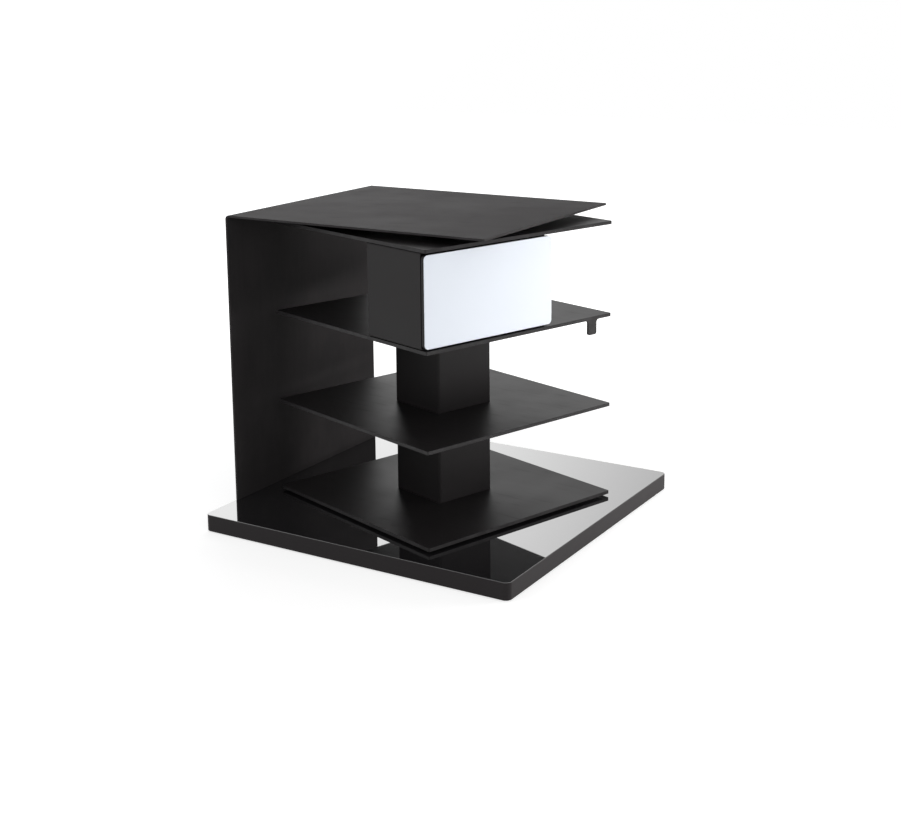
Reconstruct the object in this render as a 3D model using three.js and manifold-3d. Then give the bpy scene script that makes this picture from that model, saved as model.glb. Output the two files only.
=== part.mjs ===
// Rotating spine bookshelf: a four-plate, three-level square shelf unit that turns on a ball ring
// between a thick square base and a folded sheet frame. Millimetres, +Z up, origin on the floor
// under the axis of the turning unit. The frame's wall stands at -X.
import * as THREE from "three";
import { mergeVertices } from "three/addons/utils/BufferGeometryUtils.js";
import Module from "manifold-3d";

const wasm = await Module();
wasm.setup();

// Base slab and the glide pads under it
const baseSide = 500;
const baseThickness = 24.5;
const baseCornerRadius = 9;
const baseArris = 0.8;
const glideRadius = 19;
const glideThickness = 3.5;
const glideChamfer = 0.9;
const glideRecess = 2;
const glideInset = 45;
const glideCount = 4;

// Folded sheet frame: a wall let into the base's edge, and a top plate that reaches over the unit
const frameThickness = 3;
const frameWidth = 360;
const frameReach = 426;
const frameBendRadius = 3;
const frameCornerRadius = 2;
const frameLedge = 4;
const headroom = 10.5;

// Shelf unit: plates, the clear height between them, and the turn in which the unit stands
const plateThickness = 5;
const plateCornerRadius = 2;
const plateArris = 0.4;
const swingClearance = 3.2;
const runningGap = 3;
const clearHeight = 129.5;
const levelCount = 3;
const restTurn = THREE.MathUtils.degToRad(-18);

// Square spine sleeves, one in each level
const spineSide = 99;
const sleeveWall = 1.5;
const sleeveCornerRadius = 3;

// Lug bent down from the edge of the upper shelf
const lugWidth = 17;
const lugDrop = 21.5;
const lugThickness = 3;
const lugInset = 30;
const lugRootDepthShare = 0.5;
const lugRootFillet = 4;
const lugEndRadius = 3.5;

// Post that clamps the plates and sleeves, with its flange and nut
const postRadius = 17;
const postWall = 3;
const postFlangeThickness = 4;
const postFlangeMargin = 7;
const nutThickness = 4;
const nutWallThickness = 8;

// Pivot at the top: a pin on the frame that turns in a bush in the post
const pinRadius = 6;
const pinLength = 28;
const pinChamfer = 1;
const pinFlangeRadius = 20;
const pinFlangeThickness = 3;
const bushFlangeThickness = 1.5;
const bushFlangeOverhang = 2;
const bushLength = 26;

// Ball ring in a round pocket of the base
const ballRadius = 2.3;
const ballCount = 20;
const ballTrackRadius = 60;
const raceClearance = 0.35;
const raceGap = 4;
const raceRingThickness = 2.5;
const raceLip = 8;
const mountingRim = 11;
const cageThickness = 1;
const cageHalfWidth = 4.5;
const pocketClearance = 0.5;

// Screws: wall to base, lower ball ring to base, and post flange to upper ball ring
const frameScrew = { head: 5, shank: 2.5, headHeight: 2.7, length: 28, socket: 1.7, socketDepth: 1.6 };
const ringScrew = { head: 3.4, shank: 1.7, headHeight: 1.9, length: 14, socket: 1.2, socketDepth: 1.1 };
const postScrew = { head: 4.2, shank: 2.1, headHeight: 2.3, length: 11, socket: 1.4, socketDepth: 1.3 };
const frameScrewCount = 5;
const ringScrewCount = 4;
const postScrewCount = 4;
const screwEdgeDistance = 36;
const screwGap = 0.2;
const screwTipShare = 0.5;

// Drawer: its housing between two plates, the front with its white facing, and the tray
const housingWall = 2;
const housingCornerRadius = 3;
const frontWidth = 228.5;
const frontRecess = 3;
const frontCornerRadius = 6;
const frontCoreThickness = 5;
const facingThickness = 1;
const facingArris = 0.3;
const frontGapBehind = 1.5;
const frontGapBelow = 2;
const frontGapAbove = 3;
const trayWall = 1.5;
const trayCornerRadius = 3;
const trayHeight = 92;
const trayLift = 6;

// Slide runners: an outer channel on the housing and an inner channel on the tray
const runnerHeight = 22;
const runnerDepth = 9;
const runnerWall = 1.5;
const runnerProud = 1;
const runnerClearance = 0.4;
const runnerLift = 30;
const runnerEndGap = 3;
const stopStudRadius = 2;
const stopStudInset = 12;
const drawerTravelShare = 0.62;

// Fits and cuts
const seatGap = 0.3;
const glueGap = 0.2;
const cutOverrun = 1;

// Facets round a full turn
const fineFacets = 48;
const ringFacets = 40;
const roundFacets = 28;
const screwFacets = 12;
const cornerFacets = 4;
const hexSides = 6;
const ballFacets = 8;
const ballBands = 5;

// Heights and sizes that follow from the values above
const baseBottomZ = glideThickness - glideRecess;
const baseTopZ = baseBottomZ + baseThickness;
const baseHalf = baseSide / 2;
const swingRadius = baseHalf - frameThickness - swingClearance;
const plateHalf = (swingRadius - plateCornerRadius) / Math.SQRT2 + plateCornerRadius;
const levelPitch = clearHeight + plateThickness;
const bottomPlateZ = baseTopZ + runningGap;
const plateZ = Array.from({ length: levelCount + 1 }, (_, level) => bottomPlateZ + level * levelPitch);
const unitTopZ = plateZ[levelCount] + plateThickness;
const frameUndersideZ = unitTopZ + headroom;
const frameTopZ = frameUndersideZ + frameThickness;
const spineHalf = spineSide / 2;
const pocketDepth = 2 * raceRingThickness + raceGap - runningGap;
const pocketFloorZ = baseTopZ - pocketDepth;
const ballZ = pocketFloorZ + raceRingThickness + raceGap / 2;
const lowerRingOuter = ballTrackRadius + raceLip + mountingRim;
const postFlangeRadius = spineHalf - sleeveWall - postFlangeMargin;
const postScrewCircle = (postRadius + postFlangeRadius) / 2;
const postTopZ = unitTopZ + nutThickness;
const postBore = postRadius - postWall;

const finishes = {
  frame: new THREE.MeshStandardMaterial({ color: 0x3a3a3c, roughness: 0.42, metalness: 0.3 }),
  plate: new THREE.MeshStandardMaterial({ color: 0x222224, roughness: 0.4, metalness: 0.3 }),
  base: new THREE.MeshStandardMaterial({ color: 0x1d1c1e, roughness: 0.12, metalness: 0.1 }),
  facing: new THREE.MeshStandardMaterial({ color: 0xf4f6fa, roughness: 0.12, metalness: 0 }),
  steel: new THREE.MeshStandardMaterial({ color: 0xb9bbbd, roughness: 0.3, metalness: 1 }),
  nylon: new THREE.MeshStandardMaterial({ color: 0xd8d6cf, roughness: 0.6, metalness: 0 }),
  rubber: new THREE.MeshStandardMaterial({ color: 0x151515, roughness: 0.9, metalness: 0 }),
};

// Turns a closed geometry into a solid that can be cut and joined.
function solidOf(geometry) {
  const bare = geometry.clone();
  bare.deleteAttribute("normal");
  bare.deleteAttribute("uv");
  const merged = mergeVertices(bare, 1e-4);
  const made = new wasm.Mesh({
    numProp: 3,
    vertProperties: merged.attributes.position.array,
    triVerts: new Uint32Array(merged.index.array),
  });
  return new wasm.Manifold(made);
}

// Turns a solid back into a geometry.
function geometryOf(solid) {
  const { numProp, vertProperties, triVerts } = solid.getMesh();
  const made = new THREE.BufferGeometry();
  const positions = new Float32Array((vertProperties.length / numProp) * 3);
  for (let i = 0; i < positions.length / 3; i++) {
    positions.set(vertProperties.subarray(i * numProp, i * numProp + 3), i * 3);
  }
  made.setAttribute("position", new THREE.BufferAttribute(positions, 3));
  made.setIndex(new THREE.BufferAttribute(triVerts, 1));
  return made;
}

function cut(body, ...tools) {
  const left = tools.reduce((solid, tool) => solid.subtract(solidOf(tool)), solidOf(body));
  return geometryOf(left);
}

function join(...bodies) {
  return geometryOf(bodies.map(solidOf).reduce((whole, solid) => whole.add(solid)));
}

// A rectangle about the origin with rounded corners.
function roundedRectangle(width, height, radius) {
  const x = width / 2 - radius;
  const y = height / 2 - radius;
  const shape = new THREE.Shape();
  shape.absarc(x, y, radius, 0, Math.PI / 2);
  shape.absarc(-x, y, radius, Math.PI / 2, Math.PI);
  shape.absarc(-x, -y, radius, Math.PI, 1.5 * Math.PI);
  shape.absarc(x, -y, radius, 1.5 * Math.PI, 2 * Math.PI);
  return shape;
}

// An upright prism on the outline, from z up, with its arrises eased by arris.
function prism(shape, z, height, arris = 0) {
  const made = new THREE.ExtrudeGeometry(shape, {
    depth: height - 2 * arris,
    bevelEnabled: arris > 0,
    bevelSize: arris,
    bevelOffset: -arris,
    bevelThickness: arris,
    bevelSegments: 1,
    curveSegments: cornerFacets,
  });
  return made.translate(0, 0, z + arris);
}

// A prism whose outline lies in the YZ plane, from x towards +X.
function prismAlongX(shape, x, length, arris = 0) {
  const made = prism(shape, 0, length, arris);
  return made.rotateY(Math.PI / 2).rotateX(Math.PI / 2).translate(x, 0, 0);
}

function boxBetween([x0, y0, z0], [x1, y1, z1]) {
  const made = new THREE.BoxGeometry(x1 - x0, y1 - y0, z1 - z0);
  return made.translate((x0 + x1) / 2, (y0 + y1) / 2, (z0 + z1) / 2);
}

// A body of revolution about Z. The profile's [radius, z] points run up its outside.
function revolve(profile, facets) {
  const points = profile.map(([radius, z]) => new THREE.Vector2(radius, z));
  return new THREE.LatheGeometry(points, facets).rotateX(Math.PI / 2);
}

function disc(radius, z, height, facets) {
  return revolve([[0, z], [radius, z], [radius, z + height], [0, z + height]], facets);
}

function ring(inner, outer, z, height, facets) {
  const profile = [[inner, z], [outer, z], [outer, z + height], [inner, z + height], [inner, z]];
  return revolve(profile, facets);
}

// Copies of a geometry spread round Z, the first one turned by phase.
function spreadRound(geometry, count, phase) {
  const step = (2 * Math.PI) / count;
  return Array.from({ length: count }, (_, i) => geometry.clone().rotateZ(phase + i * step));
}

// A countersunk screw whose head lies at z 0 and whose shank points down.
function screwGeometry({ head, shank, headHeight, length, socket, socketDepth }) {
  const tip = shank * screwTipShare;
  const profile = [
    [0, -length],
    [shank - tip, -length],
    [shank, tip - length],
    [shank, -headHeight],
    [head, 0],
    [0, 0],
  ];
  const key = disc(socket, -socketDepth, socketDepth + cutOverrun, hexSides);
  return cut(revolve(profile, screwFacets), key);
}

// The hole for that screw, wider all round by the screw gap and open above the head.
function screwHole({ head, shank, headHeight, length }) {
  const depth = length + screwGap;
  const headWide = head + screwGap;
  const profile = [
    [0, -depth],
    [shank + screwGap, -depth],
    [shank + screwGap, -headHeight - screwGap],
    [headWide, -screwGap],
    [headWide, cutOverrun],
    [0, cutOverrun],
  ];
  return revolve(profile, screwFacets);
}

function mesh(name, geometry, finish) {
  const made = new THREE.Mesh(geometry, finishes[finish]);
  made.name = name;
  return made;
}

// Y places of the screws along the foot of the wall.
function frameScrewPlaces() {
  const span = frameWidth - 2 * screwEdgeDistance;
  return Array.from({ length: frameScrewCount }, (_, i) => (i / (frameScrewCount - 1) - 0.5) * span);
}

// Lays something made for a screw pointing down into the wall, pointing along +X.
function intoWall(geometry, y) {
  const z = (baseBottomZ + frameLedge + baseTopZ) / 2;
  return geometry.rotateY(-Math.PI / 2).translate(-baseHalf, y, z);
}

function glidePlaces() {
  const reach = baseHalf - glideInset;
  return Array.from({ length: glideCount }, (_, i) => {
    const turn = Math.PI / 4 + (i * 2 * Math.PI) / glideCount;
    return [reach * Math.SQRT2 * Math.cos(turn), reach * Math.SQRT2 * Math.sin(turn)];
  });
}

function baseSlab() {
  const plan = roundedRectangle(baseSide, baseSide, baseCornerRadius);
  const slab = prism(plan, baseBottomZ, baseThickness, baseArris);
  const pocketRadius = lowerRingOuter + pocketClearance;
  const pocket = disc(pocketRadius, pocketFloorZ, pocketDepth + cutOverrun, fineFacets);
  const rebate = boxBetween(
    [-baseHalf - cutOverrun, -frameWidth / 2 - seatGap, baseBottomZ + frameLedge],
    [-baseHalf + frameThickness + seatGap, frameWidth / 2 + seatGap, baseTopZ + cutOverrun],
  );
  const screwHoles = frameScrewPlaces().map((y) => intoWall(screwHole(frameScrew), y));
  const ringHoles = ringScrewGeometries(screwHole(ringScrew));
  const glideHoles = glidePlaces().map(([x, y]) =>
    disc(glideRadius + seatGap, baseBottomZ - cutOverrun, cutOverrun + glideRecess, roundFacets)
      .translate(x, y, 0),
  );
  return mesh("base_slab", cut(slab, pocket, rebate, ...screwHoles, ...ringHoles, ...glideHoles), "base");
}

function glidePads() {
  const profile = [
    [0, 0],
    [glideRadius - glideChamfer, 0],
    [glideRadius, glideChamfer],
    [glideRadius, glideThickness],
    [0, glideThickness],
  ];
  return glidePlaces().map(([x, y], i) =>
    mesh("glide_pad_" + (i + 1), revolve(profile, roundFacets).translate(x, y, 0), "rubber"),
  );
}

// The folded sheet, drawn as its side view and extruded across the width.
function frameSheet() {
  const footZ = baseBottomZ + frameLedge;
  const outer = frameBendRadius + frameThickness;
  const bend = new THREE.Vector2(-baseHalf + outer, frameTopZ - outer);
  const tipX = -baseHalf + frameReach;
  const side = new THREE.Shape();
  side.moveTo(-baseHalf, footZ);
  side.lineTo(-baseHalf + frameThickness, footZ);
  side.absarc(bend.x, bend.y, frameBendRadius, Math.PI, Math.PI / 2, true);
  side.lineTo(tipX, frameUndersideZ);
  side.lineTo(tipX, frameTopZ);
  side.absarc(bend.x, bend.y, outer, Math.PI / 2, Math.PI, false);
  const folded = new THREE.ExtrudeGeometry(side, {
    depth: frameWidth,
    bevelEnabled: false,
    curveSegments: cornerFacets,
  });
  folded.rotateX(Math.PI / 2).translate(0, frameWidth / 2, 0);
  const plan = roundedRectangle(2 * frameReach, frameWidth, frameCornerRadius);
  const planPrism = prism(plan, 0, frameTopZ + cutOverrun).translate(-baseHalf, 0, 0);
  const trimmed = geometryOf(solidOf(folded).intersect(solidOf(planPrism)));
  const holes = frameScrewPlaces().map((y) => intoWall(screwHole(frameScrew), y));
  return mesh("frame_sheet", cut(trimmed, ...holes), "frame");
}

function frameScrews() {
  return frameScrewPlaces().map((y, i) =>
    mesh("frame_screw_" + (i + 1), intoWall(screwGeometry(frameScrew), y), "steel"),
  );
}

function pivotPin() {
  const flangeZ = frameUndersideZ - pinFlangeThickness;
  const profile = [
    [0, frameUndersideZ - pinLength],
    [pinRadius - pinChamfer, frameUndersideZ - pinLength],
    [pinRadius, frameUndersideZ - pinLength + pinChamfer],
    [pinRadius, flangeZ],
    [pinFlangeRadius, flangeZ],
    [pinFlangeRadius, frameUndersideZ],
    [0, frameUndersideZ],
  ];
  return mesh("pivot_pin", revolve(profile, roundFacets), "steel");
}

// Points of a race groove in a ring's face at faceZ, from the inner edge outwards.
// The groove follows a circle about the ball's centre.
function racePoints(faceZ) {
  const grooveRadius = ballRadius + raceClearance;
  const rise = faceZ - ballZ;
  const half = Math.acos(Math.abs(rise) / grooveRadius);
  return Array.from({ length: cornerFacets + 1 }, (_, i) => {
    const angle = half * ((2 * i) / cornerFacets - 1);
    const radius = ballTrackRadius + grooveRadius * Math.sin(angle);
    return [radius, ballZ + Math.sign(rise) * grooveRadius * Math.cos(angle)];
  });
}

function ringScrewGeometries(geometry) {
  const radius = ballTrackRadius + raceLip + mountingRim / 2;
  const faceZ = pocketFloorZ + raceRingThickness;
  return spreadRound(geometry.clone().translate(radius, 0, faceZ), ringScrewCount, 0);
}

function lowerBallRing() {
  const faceZ = pocketFloorZ + raceRingThickness;
  const inner = ballTrackRadius - raceLip;
  const groove = racePoints(faceZ).reverse();
  const profile = [
    [inner, pocketFloorZ],
    [lowerRingOuter, pocketFloorZ],
    [lowerRingOuter, faceZ],
    ...groove,
    [inner, faceZ],
    [inner, pocketFloorZ],
  ];
  const holes = ringScrewGeometries(screwHole(ringScrew));
  return mesh("ball_ring_lower", cut(revolve(profile, ringFacets), ...holes), "steel");
}

function ringScrews() {
  return ringScrewGeometries(screwGeometry(ringScrew)).map((geometry, i) =>
    mesh("ring_screw_" + (i + 1), geometry, "steel"),
  );
}

function postScrewGeometries(geometry) {
  const headZ = bottomPlateZ + plateThickness + postFlangeThickness;
  return spreadRound(geometry.clone().translate(postScrewCircle, 0, headZ), postScrewCount, Math.PI / 4);
}

function upperBallRing() {
  const faceZ = bottomPlateZ - raceRingThickness;
  const outer = ballTrackRadius + raceLip;
  const inner = postRadius;
  const profile = [
    [inner, faceZ],
    ...racePoints(faceZ),
    [outer, faceZ],
    [outer, bottomPlateZ],
    [inner, bottomPlateZ],
    [inner, faceZ],
  ];
  const holes = postScrewGeometries(screwHole(postScrew));
  return mesh("ball_ring_upper", cut(revolve(profile, ringFacets), ...holes), "steel");
}

function ballCage() {
  const cage = ring(
    ballTrackRadius - cageHalfWidth,
    ballTrackRadius + cageHalfWidth,
    ballZ - cageThickness / 2,
    cageThickness,
    ringFacets,
  );
  const ball = new THREE.SphereGeometry(ballRadius, ballFacets, ballBands);
  ball.rotateX(Math.PI / 2).translate(ballTrackRadius, 0, ballZ);
  return mesh("ball_cage", join(cage, ...spreadRound(ball, ballCount, 0)), "nylon");
}

// A square plate with its centre hole, from z up.
function plateGeometry(z, holeRadius) {
  const outline = roundedRectangle(2 * plateHalf, 2 * plateHalf, plateCornerRadius);
  const hole = disc(holeRadius, z - cutOverrun, plateThickness + 2 * cutOverrun, roundFacets);
  return cut(prism(outline, z, plateThickness, plateArris), hole);
}

function bottomPlate() {
  const holes = postScrewGeometries(screwHole(postScrew));
  return mesh("bottom_plate", cut(plateGeometry(plateZ[0], postBore), ...holes), "plate");
}

// The lug's outline in the YZ plane, hanging from y 0 to its width below z 0, with fillets at the root.
function lugOutline(rootZ) {
  const shape = new THREE.Shape();
  const endZ = lugEndRadius - lugDrop;
  shape.moveTo(-lugRootFillet, rootZ);
  shape.lineTo(-lugRootFillet, 0);
  shape.absarc(-lugRootFillet, -lugRootFillet, lugRootFillet, Math.PI / 2, 0, true);
  shape.absarc(lugEndRadius, endZ, lugEndRadius, Math.PI, 1.5 * Math.PI, false);
  shape.absarc(lugWidth - lugEndRadius, endZ, lugEndRadius, 1.5 * Math.PI, 2 * Math.PI, false);
  shape.absarc(lugWidth + lugRootFillet, -lugRootFillet, lugRootFillet, Math.PI, Math.PI / 2, true);
  shape.lineTo(lugWidth + lugRootFillet, rootZ);
  return shape;
}

function upperShelf() {
  const z = plateZ[levelCount - 1];
  const outline = lugOutline(plateThickness * lugRootDepthShare);
  const lug = prismAlongX(outline, plateHalf - lugThickness, lugThickness);
  lug.translate(0, plateHalf - lugInset - lugWidth, z);
  return mesh("shelf_upper", join(plateGeometry(z, postRadius + seatGap), lug), "plate");
}

function lowerShelf() {
  return mesh("shelf_lower", plateGeometry(plateZ[1], postRadius + seatGap), "plate");
}

function unitTopPlate() {
  return mesh("unit_top_plate", plateGeometry(plateZ[levelCount], postRadius + seatGap), "plate");
}

function spineSleeves() {
  const names = ["lower", "middle", "upper"];
  return names.map((name, level) => {
    const outline = roundedRectangle(2 * spineHalf, 2 * spineHalf, sleeveCornerRadius);
    const inner = 2 * (spineHalf - sleeveWall);
    const z = plateZ[level] + plateThickness;
    const bore = prism(
      roundedRectangle(inner, inner, sleeveCornerRadius - sleeveWall),
      z - cutOverrun,
      clearHeight + 2 * cutOverrun,
    );
    return mesh("spine_sleeve_" + name, cut(prism(outline, z, clearHeight), bore), "plate");
  });
}

function post() {
  const footZ = bottomPlateZ + plateThickness;
  const profile = [
    [postBore, footZ],
    [postFlangeRadius, footZ],
    [postFlangeRadius, footZ + postFlangeThickness],
    [postRadius, footZ + postFlangeThickness],
    [postRadius, postTopZ],
    [postBore, postTopZ],
    [postBore, footZ],
  ];
  const holes = postScrewGeometries(screwHole(postScrew));
  return mesh("post", cut(revolve(profile, roundFacets), ...holes), "steel");
}

function postScrews() {
  return postScrewGeometries(screwGeometry(postScrew)).map((geometry, i) =>
    mesh("post_screw_" + (i + 1), geometry, "steel"),
  );
}

function postNut() {
  const outside = disc(postRadius + nutWallThickness, unitTopZ, nutThickness, hexSides);
  const bore = disc(postRadius + seatGap, unitTopZ - cutOverrun, nutThickness + 2 * cutOverrun, roundFacets);
  return mesh("post_nut", cut(outside, bore), "steel");
}

function topBush() {
  const outer = postBore - seatGap;
  const bore = pinRadius + seatGap;
  const flangeTopZ = postTopZ + bushFlangeThickness;
  const profile = [
    [bore, flangeTopZ - bushLength],
    [outer, flangeTopZ - bushLength],
    [outer, postTopZ],
    [outer + bushFlangeOverhang, postTopZ],
    [outer + bushFlangeOverhang, flangeTopZ],
    [bore, flangeTopZ],
    [bore, flangeTopZ - bushLength],
  ];
  return mesh("top_bush", revolve(profile, roundFacets), "nylon");
}

// Places of the drawer in the unit's own axes: +X out of the drawer's front, Y along it
const housingZ = plateZ[levelCount - 1] + plateThickness;
const housingBackX = spineHalf + seatGap;
const frontFaceX = plateHalf - frontRecess;
const coreFrontX = frontFaceX - facingThickness - glueGap;
const coreBackX = coreFrontX - frontCoreThickness;
const housingFrontX = coreBackX - frontGapBehind;
const housingLeftY = -plateHalf;
const housingRightY = spineHalf;
const housingMiddleY = (housingLeftY + housingRightY) / 2;
const housingInnerWidth = housingRightY - housingLeftY - 2 * housingWall;
const runnerBackX = housingBackX + housingWall + runnerEndGap;
const runnerLength = housingFrontX - runnerEndGap - runnerBackX;
const runnerMiddleZ = housingZ + housingWall + runnerLift + runnerHeight / 2;
const innerRunnerHeight = runnerHeight - 2 * (runnerWall + runnerClearance);
const runnerPack = seatGap + runnerDepth + runnerProud + seatGap;
const trayWidth = housingInnerWidth - 2 * runnerPack;
const trayBackX = runnerBackX;
const trayFrontX = coreBackX - seatGap;
const trayZ = housingZ + housingWall + trayLift;
const drawerTravel = runnerLength * drawerTravelShare;

function drawerHousing() {
  const width = housingRightY - housingLeftY;
  const middleZ = housingZ + clearHeight / 2;
  const outline = roundedRectangle(width, clearHeight, housingCornerRadius);
  const hollow = roundedRectangle(
    width - 2 * housingWall,
    clearHeight - 2 * housingWall,
    housingCornerRadius - housingWall,
  );
  const length = housingFrontX - housingBackX;
  const outside = prismAlongX(outline, housingBackX, length);
  const inside = prismAlongX(hollow, housingBackX + housingWall, length);
  const housing = cut(outside, inside).translate(0, housingMiddleY, middleZ);
  return mesh("drawer_housing", housing, "plate");
}

// A channel's outline in the YZ plane: its web at y 0, its flanges reaching towards +Y.
function channelOutline(depth, height) {
  const top = height / 2;
  const shape = new THREE.Shape();
  shape.moveTo(0, -top);
  shape.lineTo(depth, -top);
  shape.lineTo(depth, runnerWall - top);
  shape.lineTo(runnerWall, runnerWall - top);
  shape.lineTo(runnerWall, top - runnerWall);
  shape.lineTo(depth, top - runnerWall);
  shape.lineTo(depth, top);
  shape.lineTo(0, top);
  return shape;
}

// The outer channel with its stop stud, made for the left wall of the housing.
function outerRunnerGeometry() {
  const channel = prismAlongX(channelOutline(runnerDepth, runnerHeight), runnerBackX, runnerLength);
  const studX = runnerBackX + runnerLength - stopStudInset;
  const studLength = runnerDepth + runnerProud - seatGap;
  const stud = disc(stopStudRadius, 0, studLength, screwFacets);
  stud.rotateX(-Math.PI / 2).translate(studX, 0, 0);
  return join(channel, stud);
}

// The inner channel, facing the outer one, with the slot that the stop stud runs in.
function innerRunnerGeometry() {
  const depth = runnerDepth + runnerProud - runnerWall - runnerClearance;
  const channel = prismAlongX(channelOutline(depth, innerRunnerHeight), runnerBackX, runnerLength);
  channel.rotateX(Math.PI).translate(0, runnerDepth + runnerProud, 0);
  const studX = runnerBackX + runnerLength - stopStudInset;
  const slotRadius = stopStudRadius + seatGap;
  const slotLength = drawerTravel + 2 * slotRadius;
  const slot = prism(
    roundedRectangle(slotLength, 2 * slotRadius, slotRadius),
    0,
    runnerDepth + runnerProud + cutOverrun,
  );
  slot.rotateX(-Math.PI / 2).translate(studX - drawerTravel / 2, 0, 0);
  return cut(channel, slot);
}

// Puts a runner made for a wall at y 0 onto the left or the right wall of the housing.
function onHousingWall(geometry, side) {
  const fromMiddle = housingInnerWidth / 2 - seatGap;
  if (side === "right") geometry.rotateX(Math.PI);
  const y = side === "right" ? housingMiddleY + fromMiddle : housingMiddleY - fromMiddle;
  return geometry.translate(0, y, runnerMiddleZ);
}

function outerRunners() {
  return ["left", "right"].map((side) =>
    mesh("runner_outer_" + side, onHousingWall(outerRunnerGeometry(), side), "steel"),
  );
}

function innerRunners() {
  return ["left", "right"].map((side) =>
    mesh("runner_inner_" + side, onHousingWall(innerRunnerGeometry(), side), "steel"),
  );
}

function drawerTray() {
  const length = trayFrontX - trayBackX;
  const middleX = (trayFrontX + trayBackX) / 2;
  const outside = prism(roundedRectangle(length, trayWidth, trayCornerRadius), trayZ, trayHeight);
  const hollow = prism(
    roundedRectangle(length - 2 * trayWall, trayWidth - 2 * trayWall, trayCornerRadius - trayWall),
    trayZ + trayWall,
    trayHeight,
  );
  return mesh("drawer_tray", cut(outside, hollow).translate(middleX, housingMiddleY, 0), "plate");
}

// A layer of the drawer's front, from x towards +X.
function frontLayer(x, thickness, arris) {
  const height = clearHeight - frontGapBelow - frontGapAbove;
  const layer = prismAlongX(roundedRectangle(frontWidth, height, frontCornerRadius), x, thickness, arris);
  return layer.translate(0, frontWidth / 2 - plateHalf, housingZ + frontGapBelow + height / 2);
}

function drawerFront() {
  return mesh("drawer_front", frontLayer(coreBackX, frontCoreThickness, plateArris), "plate");
}

function drawerFacing() {
  return mesh("drawer_facing", frontLayer(coreFrontX + glueGap, facingThickness, facingArris), "facing");
}

function groupOf(...children) {
  return new THREE.Group().add(...children);
}

// What stands still, what turns, and the drawer that slides in what turns.
const drawer = groupOf(drawerTray(), drawerFront(), drawerFacing(), ...innerRunners());
const turningUnit = groupOf(
  upperBallRing(),
  ballCage(),
  bottomPlate(),
  lowerShelf(),
  upperShelf(),
  unitTopPlate(),
  ...spineSleeves(),
  post(),
  ...postScrews(),
  postNut(),
  topBush(),
  drawerHousing(),
  ...outerRunners(),
  drawer,
);
turningUnit.rotation.z = restTurn;

const bookshelf = groupOf(
  baseSlab(),
  ...glidePads(),
  frameSheet(),
  ...frameScrews(),
  lowerBallRing(),
  ...ringScrews(),
  pivotPin(),
  turningUnit,
);

export default bookshelf;
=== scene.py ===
"""Rotating spine bookshelf: a square three-level unit between a thick board and a folded sheet frame.

The model is made in metres, +Z up, with the turning axis on the Z axis and the floor at zero height.
"""
import math

import bmesh
import bpy
from bpy.props import FloatProperty, FloatVectorProperty, IntProperty, PointerProperty
from mathutils import Matrix, Vector


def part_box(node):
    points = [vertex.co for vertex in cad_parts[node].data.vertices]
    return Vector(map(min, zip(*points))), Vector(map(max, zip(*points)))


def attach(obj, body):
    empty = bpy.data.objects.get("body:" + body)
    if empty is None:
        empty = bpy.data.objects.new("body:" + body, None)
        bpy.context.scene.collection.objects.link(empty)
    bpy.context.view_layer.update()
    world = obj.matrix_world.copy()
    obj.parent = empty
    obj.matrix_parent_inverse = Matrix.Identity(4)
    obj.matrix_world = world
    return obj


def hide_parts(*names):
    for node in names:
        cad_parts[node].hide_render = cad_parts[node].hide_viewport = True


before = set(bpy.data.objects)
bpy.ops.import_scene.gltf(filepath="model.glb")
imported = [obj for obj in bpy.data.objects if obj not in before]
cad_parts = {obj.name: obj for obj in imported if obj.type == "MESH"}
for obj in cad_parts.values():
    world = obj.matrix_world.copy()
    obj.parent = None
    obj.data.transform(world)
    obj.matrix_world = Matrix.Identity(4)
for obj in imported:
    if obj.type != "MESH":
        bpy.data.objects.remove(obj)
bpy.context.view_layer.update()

bl_info = {
    "name": "Spine Bookshelf",
    "version": (1, 0, 0),
    "blender": (4, 5, 0),
    "location": "3D View > Sidebar > Bookshelf",
    "description": "Builds a rotating spine bookshelf with its finishes, stage and camera",
    "category": "Add Mesh",
}

MM = 0.001
REST_TURN = math.radians(-18)
UNIT_AXES = Matrix.Rotation(REST_TURN, 4, "Z")
SMOOTH_ANGLE = math.radians(35)
PLATE_CORNER = 2 * MM
SHARPEST_CORNER = 0.02 * MM
CUT_PAST = 2 * MM
SAME_PLACE = 1e-7
WALL_SCREWS, RING_SCREWS = 5, 4

# Flat steps that make up round shapes
ROUND_STEPS, HOLE_STEPS, PAD_STEPS, STUD_STEPS, SCREW_FACETS, HEX_SIDES = 96, 48, 64, 32, 32, 6
CAGE_FACETS, POCKET_FACETS, BALL_SEGMENTS, BALL_RINGS, GROOVE_STEPS = 120, 24, 28, 16, 12
CORNER_STEPS, WIDE_CORNER_STEPS, SLOT_STEPS, LUG_STEPS, FOLD_STEPS = 14, 20, 10, 8, 5
ARRIS_STEPS, WIDE_ARRIS_STEPS, FINE_ARRIS_STEPS, BEND_STEPS = 4, 6, 3, 24


def turned_half(node, corner_radius):
    """Half the side of a rounded square plate that stands turned in its box."""
    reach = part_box(node)[1].x
    spread = math.cos(REST_TURN) + abs(math.sin(REST_TURN))
    return (reach - corner_radius) / spread + corner_radius


BASE_LOW, BASE_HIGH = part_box("base_slab")
SHEET_LOW, SHEET_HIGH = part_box("frame_sheet")
PLATE_NODES = ("bottom_plate", "shelf_lower", "shelf_upper", "unit_top_plate")
PLATE_TOPS = tuple(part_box(node)[1].z for node in PLATE_NODES)


# Sizes and colours that a user may change


def amount(name, description, default, **more):
    """A property for a number that isn't below zero."""
    return FloatProperty(name=name, description=description, default=default, min=0.0, **more)


def length(name, description, default):
    """A size property whose default is given in metres."""
    return amount(name, description, default, precision=5, subtype="DISTANCE", unit="LENGTH")


def share(name, description, default):
    return amount(name, description, default, max=1.0, subtype="FACTOR")


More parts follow.
